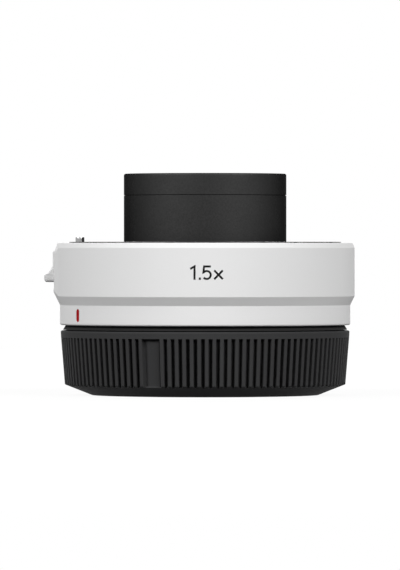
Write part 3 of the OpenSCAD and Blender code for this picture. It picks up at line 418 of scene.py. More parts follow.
# The wall lies this far inside its node, which leaves room for the print on it
PRINT_ROOM = 0.012
BODY_R, BAND_R, BORE_R = extent("housing")[1][0] - PRINT_ROOM, 34.55, 33.0
BAND_H, TAPER_H, BEVEL_H, BEVEL_W = 4.75, 2.1, 1.2, 0.45
FOOT_EDGE_R, TAPER_EDGE_R, BEVEL_EDGE_R = 0.42, 0.3, 0.2
SEAT_R, SEAT_DEPTH, LEDGE_R, LEDGE_T = 32.46, 1.74, 28.5, 3.0
PAD_PROUD, PAD_HALF_W, PAD_BLEND_HALF_W = 0.5, 4.6, 7.9
LEFT = math.pi
house_z, house_top = extent("housing")[0][2], extent("housing")[1][2]
taper_z = house_z + BAND_H
seat_z = house_top - SEAT_DEPTH
MARK_ANGLE, MARK_W, MARK_H, MARK_DEPTH = math.radians(209.6), 1.4, 3.1, 0.14
MARK_EDGE, MARK_LIP_OUT, MARK_LIP_IN = 0.12, 0.02, 0.1
PAD_SPAN, COLUMN_GAP, SKIN = 0.26, 0.01, 0.01
PAD_COLUMNS, MARK_COLUMNS, MARK_ROWS, REST_COLUMNS = 61, 33, 49, 181
mark_z = house_z + BAND_H / 2


def housing_outline(proud):
    """Closed outline of the shell where its wall stands proud by that much.

    The wall's two corners slide along the lines of taper and bevel, so those faces carry straight on.
    """
    wall_r = BODY_R + proud
    wall_bottom = taper_z + TAPER_H + proud * TAPER_H / (BODY_R - BAND_R)
    wall_top = house_top - BEVEL_H - proud * BEVEL_H / BEVEL_W
    mark_rows = mark_z + (MARK_H / 2 + MARK_EDGE) * np.linspace(-1, 1, MARK_ROWS)
    return rounded([
        (BORE_R, house_z, SMALL_EDGE_R), (BAND_R, house_z, FOOT_EDGE_R),
        *[(BAND_R, z, 0) for z in mark_rows],
        (BAND_R, taper_z, TAPER_EDGE_R), (wall_r, wall_bottom, TAPER_EDGE_R),
        (wall_r, wall_top, BEVEL_EDGE_R),
        (BODY_R - BEVEL_W, house_top, BEVEL_EDGE_R), (SEAT_R, house_top, SMALL_EDGE_R), (SEAT_R, seat_z, 0),
        (LEDGE_R, seat_z, SMALL_EDGE_R), (LEDGE_R, seat_z - LEDGE_T, SMALL_EDGE_R),
        (BORE_R, seat_z - LEDGE_T, 0),
    ])


def smoothstep(low, high, value):
    """0 below low, 1 above high, and 3tt - 2ttt between them; low may be the larger one."""
    t = np.clip((value - low) / (high - low), 0, 1)
    return t * t * (3 - 2 * t)


def housing_columns():
    """Directions round the housing: close together at the pad and at the index mark, wider elsewhere."""
    near_pad = LEFT + np.linspace(-PAD_SPAN, PAD_SPAN, PAD_COLUMNS)
    mark_half = (MARK_W / 2 + MARK_EDGE) / BAND_R
    near_mark = MARK_ANGLE + mark_half * np.linspace(-1, 1, MARK_COLUMNS)
    rest = np.linspace(0, math.tau, REST_COLUMNS)
    off_pad = np.abs(rest - LEFT) > PAD_SPAN + COLUMN_GAP
    clear = off_pad & (np.abs(rest - MARK_ANGLE) > mark_half + COLUMN_GAP)
    return np.sort(np.concatenate((rest[clear], near_pad, near_mark)))


def housing_grid():
    """Plain and pad outlines mixed by direction, and the index groove sunk into the narrow band.

    The mix runs smoothly from 0 to 1 over the pad's flank, and the far side counts as off the pad.
    The groove follows the distance to the spine of an upright bar with round ends,
    and falls to its floor within a narrow edge.
    """
    turn = housing_columns()
    across = np.abs(BODY_R * np.sin(turn - LEFT)) + 2 * BODY_R * (np.cos(turn - LEFT) < 0)
    on_pad = smoothstep(PAD_BLEND_HALF_W, PAD_HALF_W, across)[None, :, None]
    plain, pad = housing_outline(0), housing_outline(PAD_PROUD)
    mixed = plain[:, None] * (1 - on_pad) + pad[:, None] * on_pad
    radius, height = mixed[..., 0], mixed[..., 1]
    beyond = np.maximum(np.abs(height - mark_z) - (MARK_H - MARK_W) / 2, 0)
    distance = np.hypot(BAND_R * (turn - MARK_ANGLE), beyond)
    groove = smoothstep(MARK_W / 2 + MARK_LIP_OUT, MARK_W / 2 - MARK_LIP_IN, distance)
    groove = groove * (radius > BAND_R - SKIN)
    radius = radius - MARK_DEPTH * groove
    return np.stack((radius * np.cos(turn), radius * np.sin(turn), height), -1)


def prism(outline, low, high):
    """Grid of an upright prism: a closed outline at two heights between two poles at its middle."""
    outline = np.array(outline + outline[:1], float)
    middle = np.broadcast_to(outline[:-1].mean(0), outline.shape)
    rows = zip((middle, outline, outline, middle), (low, low, high, high))
    return np.stack([np.column_stack((row, np.full(len(row), z))) for row, z in rows])


def box_outline(x0, x1, y):
    """Four corners of a rectangle from x0 to x1 and from -y to y."""
    return [(x0, -y), (x1, -y), (x1, y), (x0, y)]


def drill(x, y, *rows):
    """Grid of a turned cutter about an upright axis, from rows of radius and height."""
    outline = np.array([(0, rows[0][1]), *rows, (0, rows[-1][1])], float)
    return revolved(outline, columns=48, centre=(x, y))


def carve(piece, operation, sharp, *grids):
    """Takes solids away from a piece, or joins them to it, for good."""
    for grid in grids:
        tool = grid_piece("cutter", grid)
        step = piece.modifiers.new("carve", "BOOLEAN")
        step.operation = operation
        step.object = tool
        graph = bpy.context.evaluated_depsgraph_get()
        carved = bpy.data.meshes.new_from_object(piece.evaluated_get(graph))
        piece.modifiers.remove(step)
        old, piece.data = piece.data, carved
        bpy.data.meshes.remove(old)
        bpy.data.objects.remove(tool)
    smooth(piece, sharp)


# How far a cutter runs past the face that it goes through
PAST = 1.0
POCKET_FLOOR, POCKET_HALF_W, POCKET_LOW, POCKET_HIGH = 35.22, 3.28, 25.17, 34.48
SLOT_HALF_W, SLOT_LOW, SLOT_HIGH, SLOT_INNER = 1.98, 27.15, 30.31, 31.6
LOCK_R, LOCK_PLAY, LOCK_AT = 1.08, 0.08, -29.8
SCREW_ANGLES = np.radians((45, 135, 225, 315))
SCREW_PCD_R, SCREW_SHANK_R, SCREW_LEN, FIT = 29.68, 0.85, 4.2, 0.1
housing = grid_piece("housing_shell", housing_grid())
carve(
    housing, "DIFFERENCE", 40,
    prism(box_outline(-2 * BODY_R, -POCKET_FLOOR, POCKET_HALF_W), POCKET_LOW, POCKET_HIGH),
    prism(box_outline(-BODY_R, -SLOT_INNER, SLOT_HALF_W), SLOT_LOW, SLOT_HIGH),
    drill(LOCK_AT, 0, (LOCK_R + LOCK_PLAY, seat_z - LEDGE_T - PAST), (LOCK_R + LOCK_PLAY, seat_z + PAST)),
    *[
        drill(SCREW_PCD_R * math.cos(a), SCREW_PCD_R * math.sin(a),
              (SCREW_SHANK_R + FIT, seat_z - SCREW_LEN), (SCREW_SHANK_R + FIT, seat_z + PAST))
        for a in SCREW_ANGLES
    ],
)
place(housing, "converter", "white_paint", white_paint, "housing")

# Camera index mark: a red bar let into the narrow band, left of the middle.
# An engraved groove with round ends, filled with red paint that lies a little below the rim
# and dips in the middle.
RED_DEEP = (0.26, 0.003, 0.006, 1)
RED_BRIGHT = (0.40, 0.004, 0.008, 1)
MARK_SINK, MARK_DIP, MARK_GAP, MARK_FLOOR_GAP = 0.03, 0.05, 0.02, 0.005
BAR_SIDES = 64
# How far the bar's rings have grown from its middle to its edge; the last two are its back
BAR_RINGS = (0, 0.4, 0.7, 0.9, 1.0, 1.0, 0)
red_paint = finish("red_paint", GRAIN, RED_DEEP, RED_BRIGHT, 1500, (0.5, 0.6), 0.006,
                   specular_ior_level=0.05)


def bar_grid():
    """A bar with round ends: rings that grow from its middle to its edge and a back, bent to the band."""
    around = (np.arange(BAR_SIDES + 1) % BAR_SIDES + 0.5) * math.tau / BAR_SIDES
    half_straight = (MARK_H - MARK_W) / 2
    grow = np.array(BAR_RINGS)[:, None]
    sink = MARK_SINK + MARK_DIP * (1 - grow ** 2)
    sink[-2:] = MARK_DEPTH - MARK_FLOOR_GAP
    across = (MARK_W / 2 - MARK_GAP) * grow * np.cos(around)
    along = (MARK_W / 2 - MARK_GAP) * grow * np.sin(around)
    along = along + np.where(np.sin(around) >= 0, 1, -1) * half_straight * grow
    turn = MARK_ANGLE + across / BAND_R
    radius = BAND_R - sink
    return np.stack((radius * np.cos(turn), radius * np.sin(turn), mark_z + along), -1)


index_paint = grid_piece("camera_index_paint", bar_grid(), sharp=50)
place(index_paint, "converter", "red_paint", red_paint, "camera_index_mark")

# Power figure printed on the wide band: a plain number and a cross in dark grey ink.
# Screen-printed, so it stands a hundredth of a millimetre proud and follows the wall.
INK_GREY = (0.010, 0.010, 0.010, 1)
INK_PALE = (0.020, 0.020, 0.020, 1)
INK_T, STROKE_W, FIGURE_Z, FIGURE_H = 0.01, 0.48, 27.55, 3.35
STROKE_STEPS, BOWL_POINTS, CROSS_SINK = 12, 25, 0.002
FRONT = 1.5 * math.pi
figure_ink = finish("figure_ink", GRAIN, INK_GREY, INK_PALE, 3000, (0.6, 0.7), 0.004,
                    specular_ior_level=0.05)


def stroke(path, sink=0.0):
    """A flat stroke along a path (sideways, up) on the wall: its edges are set off by the mitred normals.

    A mitred normal points along the mean of the two segments' normals,
    and is longer than they are by one over the cosine of half their angle.
    """
    corners = np.array(path, float)
    count = STROKE_STEPS * (len(corners) - 1) + 1
    along = np.linspace(0, len(corners) - 1, count)
    path = np.stack([np.interp(along, np.arange(len(corners)), corners[:, i]) for i in (0, 1)], -1)
    ahead = np.diff(path, axis=0)
    normal = np.stack((-ahead[:, 1], ahead[:, 0]), -1) / np.hypot(*ahead.T)[:, None]
    ends = np.concatenate((normal[:1], normal[:-1] + normal[1:], normal[-1:]))
    own = np.concatenate((normal[:1], normal[1:], normal[-1:]))
    ends = ends / np.sum(ends * own, 1)[:, None] * STROKE_W / 2
    sides = np.stack((path - ends, path + ends, path + ends, path - ends, path - ends), 1)
    rise = np.array((-INK_T, -INK_T, INK_T, INK_T, -INK_T)) - sink
    sides = np.concatenate((np.repeat(sides[:1].mean(1, keepdims=True), 5, 1), sides,
                            np.repeat(sides[-1:].mean(1, keepdims=True), 5, 1)))
    lift = np.broadcast_to(rise, sides.shape[:2]).copy()
    lift[(0, -1), :] = -sink
    turn = FRONT + sides[..., 0] / BODY_R
    radius = BODY_R + lift
    return np.stack((radius * np.cos(turn), radius * np.sin(turn), FIGURE_Z + sides[..., 1]), -1)


def bowl(centre, radius, first, last):
    """Points on an arc from one angle to another, in degrees."""
    angles = np.radians(np.linspace(first, last, BOWL_POINTS))
    return list(zip(centre[0] + radius * np.cos(angles), centre[1] + radius * np.sin(angles)))


top_line = FIGURE_H - STROKE_W / 2
figure = grid_piece(
    "power_figure",
    stroke([(-3.5, 2.55), (-2.5, top_line), (-2.5, 0)]),
    stroke([(-1.25, 0), (-1.25, STROKE_W + 0.06)]),
    stroke([(1.3, top_line), (-0.28, top_line), (-0.42, 1.72), *bowl((0.35, 1.13), 0.92, 135, -140)]),
    stroke([(2.1, 0.15), (4.1, 2.2)]),
    stroke([(2.1, 2.2), (4.1, 0.15)], sink=CROSS_SINK),
    sharp=30,
)
place(figure, "converter", "black_moulding", figure_ink)

# Lens lock: a pin that rises through the lens mount, its return spring, and the fork that draws it down.
# The pin is hardened and polished, the spring is wound music wire,
# and the fork and its cross pin are stamped steel.
polished_steel = finish("polished_steel", turned_lines("polish_lines", 2 * BODY_R), (0.30, 0.30, 0.30, 1),
                        (0.40, 0.40, 0.40, 1), 2500, (0.1, 0.18), 0.002, metallic=1.0)
LOCK_COLLAR_R, LOCK_TIP_R, LOCK_EDGE_R = 2.0, 0.35, 0.08
COLLAR_LOW, COLLAR_HIGH = 27.75, 28.75
pin_low, pin_high = extent("lock_pin")
lock_pin = grid_piece("lock_pin_rod", revolved(rounded([
    (0, pin_low[2], 0), (LOCK_R, pin_low[2], LOCK_EDGE_R), (LOCK_R, COLLAR_LOW, 0),
    (LOCK_COLLAR_R, COLLAR_LOW, LOCK_EDGE_R), (LOCK_COLLAR_R, COLLAR_HIGH, LOCK_EDGE_R),
    (LOCK_R, COLLAR_HIGH, 0),
    (LOCK_R, pin_high[2], LOCK_TIP_R), (0, pin_high[2], 0),
], closed=False), columns=64, centre=(LOCK_AT, 0)))
place(lock_pin, "lock_pin", "polished_steel", polished_steel, "lock_pin")

SPRING_TURNS, WIRE_R, SPRING_R = 6, 0.225, 1.535
TURN_RINGS, WIRE_SIDES = 40, 12
spring_low, spring_high = extent("lock_spring")


def spring_grid():
    """Round wire along a helix: a circle about the coil's radius, climbing evenly, closed at both ends."""
    turn = np.linspace(0, math.tau * SPRING_TURNS, SPRING_TURNS * TURN_RINGS + 1)[:, None]
    side = np.linspace(0, math.tau, WIRE_SIDES + 1)
    climb = np.linspace(spring_low[2] + WIRE_R, spring_high[2] - WIRE_R, len(turn))[:, None]
    wire = np.full((len(turn), 1), WIRE_R)
    turn, climb, wire = (np.concatenate((a[:1], a, a[-1:])) for a in (turn, climb, wire))
    wire[[0, -1]] = 0
    radius = SPRING_R + wire * np.cos(side)
    return np.stack((
        LOCK_AT + radius * np.cos(turn), radius * np.sin(turn), climb + wire * np.sin(side),
    ), -1)


lock_spring = grid_piece("lock_spring_coil", spring_grid())
place(lock_spring, "converter", "spring_steel", spring_steel, "lock_spring")
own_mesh(lock_spring)
dress(spring_steel, "lever_arm", "lever_pin")

# Release lever: the thumb slide at the left, a plate with a fin and a hollow above it for the thumb.
# Moulded and sprayed to match the housing; its stem goes through a slot to the fork inside.
LEVER_FACE, LEVER_BACK, LEVER_HALF_W = 36.25, 35.3, 3.2
FIN_REACH, FIN_T, HOLLOW_H, FIN_EDGE_R, LEVER_TOP_R = 2.02, 1.9, 2.3, 0.75, 0.5
LEVER_SIDE_R, LEVER_SIDE_W, FIN_LIP_R = 0.33, 0.75, 0.36
FIN_FOOT_R, HOLLOW_START, HOLLOW_SHIFT, STEM_SINK = 0.7, 0.2, 0.05, 0.5
HOLLOW_ROWS, SIDE_ROWS = 15, 9
STEM_HALF_W, STEM_LOW, STEM_HIGH, STEM_INNER = 1.9, 28.83, 30.23, 31.6
lever_low, lever_high = extent("release_lever")


def lever_front():
    """Side view (x, z) of the lever's front, from the foot of its back to the top of it.

    A fin with a round lower edge, a hollow for the thumb that rises as the square of its reach,
    and a round top edge.
    """
    fin_tip = LEVER_FACE + FIN_REACH
    fin_top = lever_low[2] + FIN_T
    reach = np.linspace(HOLLOW_START, 1, HOLLOW_ROWS)
    hollow = np.stack((-fin_tip + FIN_REACH * reach, fin_top + HOLLOW_H * (reach - HOLLOW_SHIFT) ** 2), -1)
    fin = rounded([
        (-LEVER_BACK, lever_low[2], 0), (-fin_tip, lever_low[2], FIN_EDGE_R), (-fin_tip, fin_top, FIN_LIP_R),
        (*hollow[0], 0),
    ], closed=False)
    face = rounded([
        (*hollow[-1], 0), (-LEVER_FACE, fin_top + HOLLOW_H, 0), (-LEVER_FACE, lever_high[2], LEVER_TOP_R),
        (-LEVER_BACK, lever_high[2], 0),
    ], closed=False)
    return np.concatenate((fin, hollow[1:-1], face))


def lever_grid():
    """The side view carried across the lever, drawn in along its normals by a quarter ellipse at its ends.

    The ellipse is tallest at the fin's foot, and lower from its lip on. The flat back repeats every row
    at the same heights, so front and back close the piece between them.
    """
    outline = lever_front()
    ahead = np.gradient(outline, axis=0)
    inward = np.stack((ahead[:, 1], -ahead[:, 0]), -1) / np.hypot(*ahead.T)[:, None]
    bend = np.linspace(0, math.pi / 2, SIDE_ROWS)
    draw = np.concatenate((1 - np.sin(bend), (1 - np.sin(bend))[::-1]))[:, None]
    foot_z = lever_low[2] + FIN_EDGE_R / 2
    lip_z = lever_low[2] + FIN_T - 1.5 * FIN_LIP_R
    draw = draw * np.interp(outline[:, 1], (foot_z, lip_z), (FIN_FOOT_R, LEVER_SIDE_R))
    side = LEVER_HALF_W - LEVER_SIDE_W * (1 - np.cos(bend))
    side = np.concatenate((-side, side[::-1]))[:, None]
    shape = outline[None] + inward[None] * draw[..., None]
    shape[..., 0] = np.minimum(shape[..., 0], -LEVER_BACK)
    shape[:, (0, -1), 0] = -LEVER_BACK
    front = np.stack((shape[..., 0], side + 0 * shape[..., 0], shape[..., 1]), -1)
    back = front.copy()
    back[..., 0] = -LEVER_BACK
    return np.concatenate((front, back[::-1], front[:1]))


release_lever = grid_piece("release_lever_slide", lever_grid())
carve(release_lever, "UNION", 40,
      prism(box_outline(-LEVER_BACK - STEM_SINK, -STEM_INNER, STEM_HALF_W), STEM_LOW, STEM_HIGH))
place(release_lever, "release_lever", "white_paint", white_paint, "release_lever")

# Lens mount: the steel bayonet ring with three lugs, the leaf spring under it, four screws and a red dot.
# Turned and milled from stainless steel, with fine lathe marks on its face; its outer wall carries painted
# shade.
# The screws go into the housing's ledge.
FLANGE_R, THROAT_R, LUG_R, LUG_T = 32.36, 27.0, 25.2, 1.6
LUG_ANGLES, LUG_HALF = np.radians((90, 210, 330)), math.radians(26)
LUG_COLUMNS, GAP_COLUMNS = 33, 49
# Heights of the throat's rows above the lugs, as many as one round edge has
THROAT_ROWS = np.linspace(1.0, 0.1, 8)
# The skin is the outer wall's band of painted shade: the dark steel below is painted shade there, and the
# dark end of the lathe marks on the face.
STEEL_EDGE_R, RIM_EDGE_R, WALL_SHADE_SKIN = 0.15, 0.05, 0.03
WALL_SHADE_AND_DARK_MARKS = (0.10, 0.10, 0.10, 1)
FACE_STEEL = (0.60, 0.60, 0.60, 1)
HEAD_R, HEAD_H, HEAD_RIM = 1.6, 0.9, 0.1
DOT_R, DOT_DEPTH = 0.83, 0.25
mount_low, mount_high = extent("front_mount_ring")
lug_z = mount_high[2] - LUG_T
# Past the skin the ring takes the plain dark steel: painted shade for the dark line where the ring meets the
# housing.
mount_steel = finish("mount_steel", turned_lines("mount_lines_and_wall_shade", FLANGE_R - WALL_SHADE_SKIN),
                     WALL_SHADE_AND_DARK_MARKS, FACE_STEEL, 3800,
                     (0.16, 0.26), 0.003, metallic=1.0, specular_tint=(0.65, 0.65, 0.65, 1))


def mount_outline(bore, bore_rows):
    """Closed outline of the ring: an upper bore of that radius, then given rows down to the throat."""
    return rounded([
        (FLANGE_R, mount_low[2], RIM_EDGE_R), (FLANGE_R, mount_high[2], RIM_EDGE_R),
        (bore, mount_high[2], STEEL_EDGE_R), *bore_rows,
        (THROAT_R, lug_z, 0), (THROAT_R, mount_low[2], STEEL_EDGE_R),
    ], steps=6)


def mount_grid():
    """Outlines with and without a lug, swapped where two columns share a direction at a lug's end."""
    lugged = mount_outline(LUG_R, [(LUG_R, lug_z, STEEL_EDGE_R)])
    plain = mount_outline(THROAT_R, [(THROAT_R, lug_z + rise, 0) for rise in THROAT_ROWS])
    turn, has_lug = [], []
    for middle, after in zip(LUG_ANGLES, np.roll(LUG_ANGLES, -1)):
        gap = (after - middle) % math.tau
        turn.append(middle + np.linspace(-LUG_HALF, LUG_HALF, LUG_COLUMNS))
        turn.append(middle + np.linspace(LUG_HALF, gap - LUG_HALF, GAP_COLUMNS))
        has_lug += [np.ones(LUG_COLUMNS), np.zeros(GAP_COLUMNS)]
    turn, has_lug = np.concatenate(turn + [turn[0][:1]]), np.concatenate(has_lug + [np.ones(1)])
    mixed = np.where(has_lug[None, :, None] > 0, lugged[:, None], plain[:, None])
    return np.stack((mixed[..., 0] * np.cos(turn), mixed[..., 0] * np.sin(turn), mixed[..., 1]), -1)


front_mount = grid_piece("lens_mount_ring", mount_grid())
carve(
    front_mount, "DIFFERENCE", 35,
    drill(LOCK_AT, 0, (LOCK_R + LOCK_PLAY, mount_low[2] - PAST), (LOCK_R + LOCK_PLAY, mount_high[2] + PAST)),
    drill(0, -SCREW_PCD_R, (DOT_R, mount_high[2] - DOT_DEPTH), (DOT_R, mount_high[2] + PAST)),
    *[
        drill(SCREW_PCD_R * math.cos(a), SCREW_PCD_R * math.sin(a),
              (SCREW_SHANK_R + FIT, mount_low[2] - PAST),
              (SCREW_SHANK_R + FIT, mount_high[2] - HEAD_H - FIT),
              (HEAD_R + FIT, mount_high[2] - HEAD_RIM - FIT), (HEAD_R + FIT, mount_high[2] + PAST))
        for a in SCREW_ANGLES
    ],
)
place(front_mount, "converter", "mount_steel", mount_steel, "front_mount_ring")
dress(mount_steel, "front_mount_screws")
dress(spring_steel, "bayonet_spring")
dress(red_paint, "lens_index_dot")

# Lens socket: the moulded floor and wall round the barrel, their screws, and the block of sprung contacts.
# Matt black mouldings that keep stray light down; the contacts are gold-plated pins with round tips.
contact_gold = finish("contact_gold", GRAIN, (0.66, 0.43, 0.14, 1), (0.76, 0.52, 0.19, 1),
                      2600, (0.18, 0.3), 0.002, metallic=1.0)
dress(black_moulding, "inner_shroud", "socket_liner", "front_contact_block")
dress(spring_steel, "shroud_screws")
dress(contact_gold, "front_contact_pins")

# Camera mount: the steel bayonet under the cap, its long screws, the light baffle and the camera contacts.
# The ring is turned steel, the baffle and the contact block are black mouldings,
# and the contacts are gilt strips.
dress(mount_steel, "rear_mount_ring", "rear_mount_screws")
dress(black_moulding, "rear_baffle", "rear_contact_block")
dress(contact_gold, "rear_contacts")
dress(spring_steel, "rear_contact_screws")

# Weather seal: the black rubber ring between housing and camera, whose lip flares out above the cap.
# Moulded rubber with a dull skin; its root is trapped between the steel ring and the housing's wall.
RUBBER_BLACK = (0.020, 0.020, 0.020, 1)
RUBBER_GREY = (0.034, 0.034, 0.034, 1)
seal_rubber = finish("seal_rubber", GRAIN, RUBBER_BLACK, RUBBER_GREY, 3000, (0.65, 0.8), 0.01,
                     specular_ior_level=0.03)
seal_low, seal_high = extent("mount_seal")
SEAL_IN_R, SEAL_ROOT_R, SEAL_NECK_R, SEAL_LIP_T, CAMERA_FLANGE_Z = 32.41, 32.95, 33.15, 0.6, 16.13
SEAL_EDGE_R, SEAL_NECK_EDGE_R = 0.05, 0.03
lip_r = seal_high[0]
mount_seal = grid_piece("weather_seal", revolved(rounded([
    (SEAL_IN_R, seal_high[2], SEAL_EDGE_R), (SEAL_ROOT_R, seal_high[2], SEAL_EDGE_R),
    (SEAL_ROOT_R, house_z, 0),
    (SEAL_NECK_R, house_z, SEAL_NECK_EDGE_R), (lip_r, seal_low[2], SEAL_EDGE_R),
    (lip_r - SEAL_LIP_T, seal_low[2], SEAL_EDGE_R),
    (SEAL_IN_R, CAMERA_FLANGE_Z, 0),
]), columns=256))
place(mount_seal, "converter", "seal_rubber", seal_rubber, "mount_seal")

# Rear cap: the ribbed cover that the object stands on, with a plain index panel among its grip grooves.
# Moulded in black plastic with a fine spark-eroded skin; it turns on the camera bayonet by its inner lugs.
CAP_BLACK = (0.036, 0.036, 0.037, 1)
CAP_GREY = (0.054, 0.054, 0.055, 1)
cap_plastic = finish("cap_plastic", GRAIN, CAP_BLACK, CAP_GREY, 4200, (0.6, 0.75), 0.015,
                     specular_ior_level=0.02)
cap_high = extent("rear_cap")[1]
CAP_BASE_R, CAP_FOOT_R, CAP_HEAD_R, CAP_SLOPE_H = 27.0, 33.4, 34.4, 2.53
CAP_RIM_Z, CAP_RIM_R, CAP_WALL, CAP_POCKET_Z = 15.35, 0.35, 2.6, 3.25
CAP_COLLAR_OUT_R, CAP_COLLAR_IN_R, CAP_FLOOR_T = 28.4, 27.0, 1.8
GROOVES, GROOVE_DEPTH, GROOVE_DROP = 120, 1.3, 1.65
FLARE_Z, FLARE_H = 2.1, 0.7
CAP_BASE_EDGE_R, CAP_FOOT_EDGE_R, CAP_LIP_R = 0.35, 0.25, 0.2
GROOVE_FOOT_Z, SLOPE_ROWS = 2.8, np.linspace(0.84, 0.96, 7)
PANEL_ANGLE, PANEL_GROOVES, PANEL_DEPTH = math.radians(248.1), 3, 0.9
# Places across the panel in pitches from its middle, and its depth there as a share of its face's depth
PANEL_PLACES = (-1.27, -1.22, -1.1, -0.95, -0.7, 1.0, 1.17, 1.24, 1.26)
PANEL_SHARES = (0.0, 0.9, 1.5, 1.35, 1.0, 1.0, 1.8, 1.7, 0.0)
# Places across one pitch, from a groove's middle to a rib's, and how deep the groove is there
GROOVE_PLACES = (0.0, 0.19, 0.228, 0.242, 0.252, 0.262, 0.276, 0.3)
GROOVE_SHARES = (1.0, 1.0, 0.96, 0.82, 0.18, 0.05, 0.012, 0.0)
flank_z = CAP_RIM_Z - CAP_RIM_R
groove_top = CAP_RIM_Z - GROOVE_DROP


def flank_radius(z):
    """Radius of the cap's leaning flank at a height: a straight line from its foot to its head."""
    return CAP_FOOT_R + (CAP_HEAD_R - CAP_FOOT_R) / (flank_z - CAP_SLOPE_H) * (z - CAP_SLOPE_H)


def cap_outline():
    """Outline from the middle of the base, up the ribbed flank, over the rim and down the inside."""
    flank = [(flank_radius(z), z, 0) for z in (GROOVE_FOOT_Z, groove_top, groove_top)]
    slope = [(CAP_BASE_R + (CAP_FOOT_R - CAP_BASE_R) * t, CAP_SLOPE_H * t, 0) for t in SLOPE_ROWS]
    return rounded([
        (0, 0, 0), (CAP_BASE_R, 0, CAP_BASE_EDGE_R), *slope,
        (CAP_FOOT_R, CAP_SLOPE_H, CAP_FOOT_EDGE_R), *flank,
        (CAP_HEAD_R, flank_z + CAP_RIM_R, CAP_RIM_R), (CAP_HEAD_R - CAP_WALL, CAP_RIM_Z, CAP_LIP_R),
        (CAP_FOOT_R - CAP_WALL, CAP_POCKET_Z, 0), (CAP_COLLAR_OUT_R, CAP_POCKET_Z, 0),
        (CAP_COLLAR_OUT_R, cap_high[2], 0), (CAP_COLLAR_IN_R, cap_high[2], 0),
        (CAP_COLLAR_IN_R, CAP_FLOOR_T, 0), (0, CAP_FLOOR_T, 0),
    ], closed=False)


def cap_columns():
    """Directions round the cap and the groove's share of its depth at each, the same in every pitch."""
    places = np.concatenate((-np.array(GROOVE_PLACES[:0:-1]), GROOVE_PLACES, (0.5,)))
    shares = np.concatenate((GROOVE_SHARES[:0:-1], GROOVE_SHARES, (0.0,)))
    number = np.arange(GROOVES)[:, None]
    turn = PANEL_ANGLE + (number + places).ravel() * math.tau / GROOVES
    in_panel = (number < PANEL_GROOVES // 2 + 1) | (number > GROOVES - PANEL_GROOVES // 2 - 1)
    share = np.where(in_panel, 0, shares).ravel()
    return np.append(turn, turn[0] + math.tau), np.append(share, share[0])


def cap_grid():
    """The outline turned about the axis, drawn in to the groove's floor, or to the panel's flat face.

    The floor lies a groove's depth inside the flank, and curves out to the slope by a quarter ellipse.
    The panel's face is flat between two gutters: a wide soft one on its left and a narrow one on its right.
    """
    outline = cap_outline()
    turn, share = cap_columns()
    radius, height = outline[:, :1], outline[:, 1:]
    rows = np.arange(len(outline))[:, None]
    last_grooved = np.flatnonzero(np.isclose(outline[:, 1], groove_top))[0]
    flank_r = flank_radius(height)
    grooved = rows <= last_grooved
    off_panel = np.angle(np.exp(1j * (turn - PANEL_ANGLE)))
    panel = np.interp(off_panel * GROOVES / math.tau, PANEL_PLACES, PANEL_SHARES)
    flare = np.sqrt(1 - (1 - np.clip((height - FLARE_Z) / FLARE_H, 0, 1)) ** 2)
    panel_r = flank_r - (1 - (1 - PANEL_DEPTH / flank_r) / np.cos(off_panel)) * flank_r * flare
    drawn = radius - share * np.maximum(radius - (flank_r - GROOVE_DEPTH * flare), 0)
    drawn = drawn - panel * np.maximum(radius - panel_r, 0)
    radius = np.where(grooved, drawn, radius + 0 * turn)
    return np.stack((radius * np.cos(turn), radius * np.sin(turn), height + 0 * turn), -1)


rear_cap = grid_piece("rear_cap_cover", cap_grid())
place(rear_cap, "rear_cap", "cap_plastic", cap_plastic, "rear_cap")

# Studio: a white floor and surround, two broad lamps in front, a small high one at the left, one behind.
# The floor takes the object's shadow and is clear from below; the camera, metal and glass see plain white.
FLOOR_R, FLOOR_Z, FLOOR_PALE = 700.0, -0.03, (0.06, 0.06, 0.06, 1)
NEAR_GLOW, FAR_GLOW, NEAR_R, FAR_R = 0.93, 1.0, 60.0, 300.0
AMBIENT, LAMP_AIM_Z = 0.03, 26.0


def lamp(name, azimuth, elevation, distance, width, height, power):
    """A soft rectangular lamp aimed at the object; its azimuth is from the camera's side to the right."""
    aim = Vector((0, 0, LAMP_AIM_Z * MM))
    side, up = math.radians(azimuth), math.radians(elevation)
    away = Vector((math.sin(side) * math.cos(up), -math.cos(side) * math.cos(up), math.sin(up)))
    light = bpy.data.lights.new(name, "AREA")
    light.shape = "RECTANGLE"
    light.size, light.size_y, light.energy = width, height, power
    holder = bpy.data.objects.new(name, light)
    holder.location = aim + away * distance
    holder.rotation_euler = (-away).to_track_quat("-Z", "Y").to_euler()
    bpy.context.scene.collection.objects.link(holder)


def seen_rays(tree):
    """1 for what the camera sees by itself, in a reflection or through glass, 0 for light on things."""
    path = tree.nodes.new("ShaderNodeLightPath")
    total = path.outputs["Is Camera Ray"]
    for ray in ("Is Glossy Ray", "Is Transmission Ray"):
        either = tree.nodes.new("ShaderNodeMath")
        either.operation = "MAXIMUM"
        tree.links.new(total, either.inputs[0])
        tree.links.new(path.outputs[ray], either.inputs[1])
        total = either.outputs["Value"]
    return total


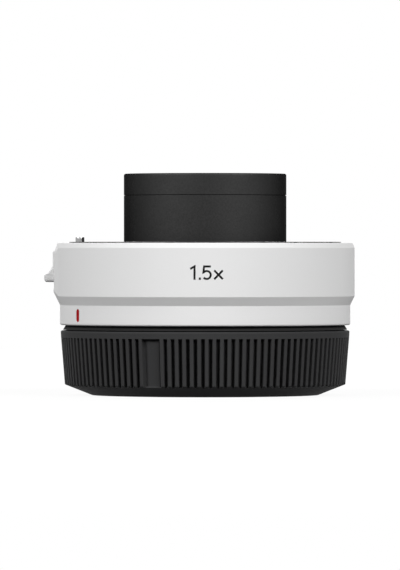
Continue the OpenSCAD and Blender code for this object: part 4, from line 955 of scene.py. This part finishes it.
floor_rows = np.array([(r, FLOOR_Z) for r in (0, FLOOR_R / 2, FLOOR_R)], float)
floor = grid_piece("floor", revolved(floor_rows, columns=64))
floor.data.flip_normals()
floor_white = bpy.data.materials.new("floor_white")
floor_white.use_nodes = True
tree = floor_white.node_tree
floor_shader = tree.nodes["Principled BSDF"]
floor_shader.inputs["Base Color"].default_value = FLOOR_PALE
floor_shader.inputs["Roughness"].default_value = 1.0
floor_shader.inputs["Specular IOR Level"].default_value = 0.0
floor_shader.inputs["Emission Color"].default_value = (1, 1, 1, 1)
coords = tree.nodes.new("ShaderNodeTexCoord")
distance = tree.nodes.new("ShaderNodeVectorMath")
distance.operation = "LENGTH"
fade = tree.nodes.new("ShaderNodeMapRange")
fade.inputs["From Min"].default_value, fade.inputs["From Max"].default_value = NEAR_R * MM, FAR_R * MM
fade.inputs["To Min"].default_value, fade.inputs["To Max"].default_value = NEAR_GLOW, FAR_GLOW
glow = tree.nodes.new("ShaderNodeMath")
glow.operation = "MULTIPLY"
tree.links.new(coords.outputs["Object"], distance.inputs[0])
tree.links.new(distance.outputs["Value"], fade.inputs["Value"])
tree.links.new(fade.outputs["Result"], glow.inputs[1])
tree.links.new(seen_rays(tree), glow.inputs[0])
tree.links.new(glow.outputs["Value"], floor_shader.inputs["Emission Strength"])
facing = tree.nodes.new("ShaderNodeNewGeometry")
clear = tree.nodes.new("ShaderNodeBsdfTransparent")
one_sided = tree.nodes.new("ShaderNodeMixShader")
tree.links.new(facing.outputs["Backfacing"], one_sided.inputs["Fac"])
tree.links.new(floor_shader.outputs["BSDF"], one_sided.inputs[1])
tree.links.new(clear.outputs["BSDF"], one_sided.inputs[2])
tree.links.new(one_sided.outputs["Shader"], tree.nodes["Material Output"].inputs["Surface"])
floor.data.materials.append(floor_white)

world = bpy.data.worlds.new("surround")
world.use_nodes = True
bpy.context.scene.world = world
surround = world.node_tree.nodes["Background"]
surround.inputs["Color"].default_value = (1, 1, 1, 1)
level = world.node_tree.nodes.new("ShaderNodeMapRange")
level.inputs["To Min"].default_value = AMBIENT
world.node_tree.links.new(seen_rays(world.node_tree), level.inputs["Value"])
world.node_tree.links.new(level.outputs["Result"], surround.inputs["Strength"])
lamp("left_lamp", -50, 31, 1.5, 1.1, 0.35, 18)
lamp("right_lamp", 44, 31, 1.5, 1.1, 0.35, 19.5)
lamp("left_high_lamp", -95, 55, 1.5, 0.6, 0.6, 2)
lamp("back_lamp", 180, 35, 1.5, 1.1, 0.6, 13)

# Camera: level with the housing and a long way off,
# so that the object is seen almost square from the front.
CAMERA_X, CAMERA_Y, CAMERA_Z, AIM_Z = -1.22, -1590.0, 35.1, 26.15
CAMERA_LENS, LONG_SIDE = 421.7, 36
camera = bpy.data.objects.new("camera", bpy.data.cameras.new("camera"))
camera.data.lens = CAMERA_LENS
camera.data.sensor_width = LONG_SIDE
camera.location = Vector((CAMERA_X, CAMERA_Y, CAMERA_Z)) * MM
sight = Vector((CAMERA_X, 0, AIM_Z)) * MM - camera.location
camera.rotation_euler = sight.to_track_quat("-Z", "Y").to_euler()
camera.data.clip_end = 10
bpy.context.scene.collection.objects.link(camera)
bpy.context.scene.camera = camera
bpy.context.scene.view_settings.view_transform = "Standard"
